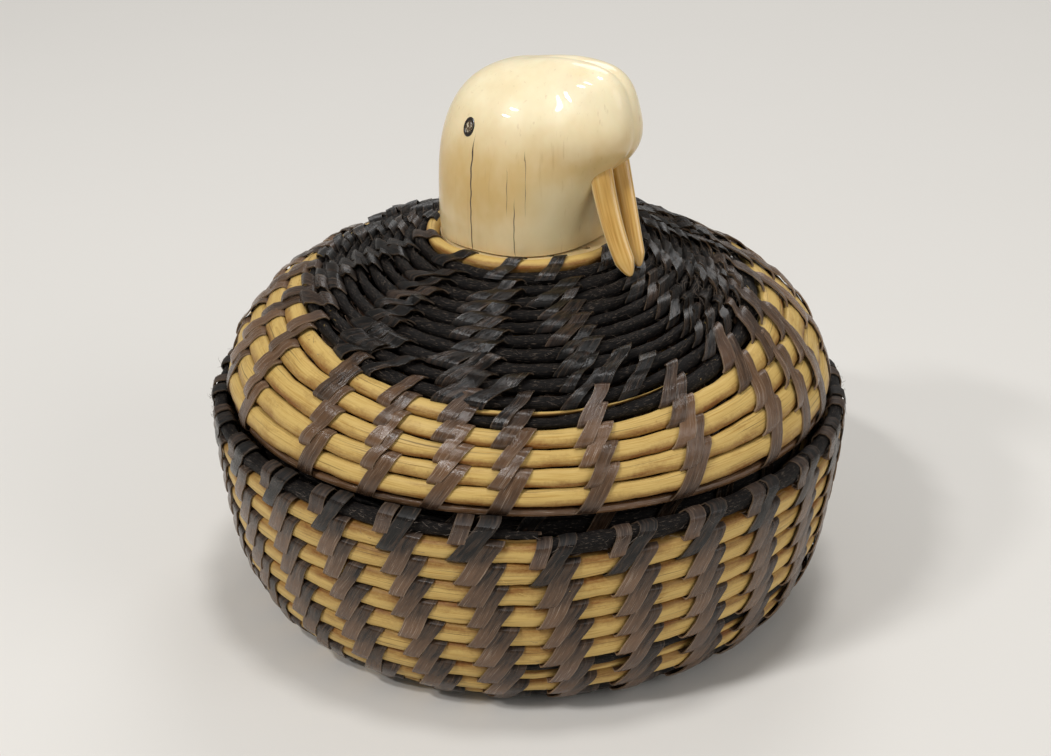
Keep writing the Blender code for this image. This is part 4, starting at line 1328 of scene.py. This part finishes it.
eyes = {
    "forward": -3.0,
    "side": 13.2,
    "up": 18.9,
    "radius": 1.25,
    "stretch": (0.8, 1.15),  # level and upright
    # its rings, in shares of the radius, and how far each stands out, with a groove at 0.62
    "rings": np.array([0.02, 0.2, 0.4, 0.55, 0.62, 0.75, 0.9, 1.0, 1.0]),
    "rise": np.array([0.12, 0.12, 0.09, 0.05, -0.02, 0.08, 0.06, 0.0, -0.7]),
    "sides": 28,
}


def makeEye(name, node, side):
    # Rings over a disc that lies on the head's surface, each raised along the surface's normal
    heart = head["heart"]
    aim = np.array([eyes["forward"], side * eyes["side"], eyes["up"]]) - heart
    aim = aim / np.linalg.norm(aim)
    middle = heart + aim * reachInHead(heart, aim[None], head["furthest"])[0]
    steps = np.eye(3) * 0.05
    slope = headField(middle + steps) - headField(middle - steps)
    normal = slope / np.linalg.norm(slope)
    level = np.cross(np.array([0, 0, 1.0]), normal)
    level /= np.linalg.norm(level)
    upright = np.cross(normal, level)
    phi = np.linspace(0, fullTurn, eyes["sides"], endpoint=False)[None, :, None]
    wide, tall = eyes["stretch"]
    flat = level * np.cos(phi) * wide + upright * np.sin(phi) * tall
    points = middle + eyes["radius"] * eyes["rings"][:, None, None] * flat
    points = points + normal * eyes["rise"][:, None, None]
    obj = makeTubes(name, headToWorld(points)[None], np.linspace(0, 2 * mm, len(points)),
                    np.linspace(0, 8 * mm, eyes["sides"] + 1),
                    {"ring": eyes["rings"][None, :, None]}, eyeMaterial)
    rideAs(obj, "lid", (node,))


makeEye("leftEye", "left_eye", 1)
makeEye("rightEye", "right_eye", -1)
for kept in ("base_disc", "lid_disc", "finial_peg"):
    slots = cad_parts[kept].data.materials
    slots.clear()
    slots.append(ivoryMaterial)
print("head carved")

# Floor, camera and light

floor = {
    "paint": "#DEDBD6",
    "shade": "#C9C5BE",
    "shading": 0.06,
    "reach": 4.0,
    "points": 9,  # a side
    "patterns": {"mottle": ((40, 40, 40), 3, 0.55)},
    "shader": {"Roughness": 0.9},
}
cameraLook = {
    "place": (-0.00055, -0.27217, 0.16011),
    "target": (-0.00055, 0.0, 0.03383),
    "lens": 65.0,
    "sensor": 36.0,
}
lamps = [
    # name, place, width, height, watts
    ("keyLamp", (-0.44, -0.43, 0.78), 0.18, 0.05, 2.6),
    ("secondKeyLamp", (-0.6, -0.47, 0.67), 0.15, 0.045, 2.2),
    ("topLamp", (0.05, -0.08, 0.95), 0.16, 0.16, 2.2),
    ("fillLamp", (0.7, -0.45, 0.5), 0.6, 0.6, 2.0),
    ("backLamp", (0.15, 0.7, 0.75), 0.5, 0.5, 2.3),
]
lampTarget = (0, 0, 0.04)
sky = {"Color": "#F4F2EE", "Strength": 0.3}


def makeFloor(look):
    # Matt painted board: pale, with a faint mottle, so that it doesn't draw the eye
    material, tree, shader, _, (mottle,) = newMaterial("floorMattPaint", look, "Object")
    shade = addNode(tree, "Math", (mottle, look["shading"]), operation="MULTIPLY")
    colour = addNode(tree, "Mix", {0: shade, 6: look["paint"], 7: look["shade"]}, **colourMix)
    fillInputs(tree, shader, {"Base Color": colour})
    count = look["points"]
    side = np.linspace(-look["reach"], look["reach"], count)
    x, y = np.meshgrid(side, side, indexing="ij")
    points = np.stack([x, y, 0 * x], -1).reshape(-1, 3)
    number = np.arange(count * count).reshape(count, count)
    faces = np.stack([number[:-1, :-1], number[1:, :-1], number[1:, 1:], number[:-1, 1:]], -1)
    mesh = bpy.data.meshes.new("floor")
    mesh.from_pydata(points.tolist(), [], faces.reshape(-1, 4).tolist())
    mesh.materials.append(material)
    addObject("floor", mesh)


def aimFrom(obj, place, target):
    obj.location = place
    obj.rotation_euler = (Vector(target) - Vector(place)).to_track_quat("-Z", "Y").to_euler()


makeFloor(floor)

cameraData = bpy.data.cameras.new("camera")
cameraData.lens = cameraLook["lens"]
cameraData.sensor_width = cameraLook["sensor"]
cameraData.clip_start = 0.01
camera = addObject("camera", cameraData)
aimFrom(camera, cameraLook["place"], cameraLook["target"])
bpy.context.scene.camera = camera

for name, place, width, height, power in lamps:
    data = bpy.data.lights.new(name, "AREA")
    data.shape = "ELLIPSE"
    data.size, data.size_y = width, height
    data.energy = power
    aimFrom(addObject(name, data), place, lampTarget)

world = bpy.data.worlds.new("softStudio")
world.use_nodes = True
fillInputs(world.node_tree, world.node_tree.nodes["Background"], sky)
bpy.context.scene.world = world
bpy.context.scene.view_settings.view_transform = "Standard"
print("stage set")
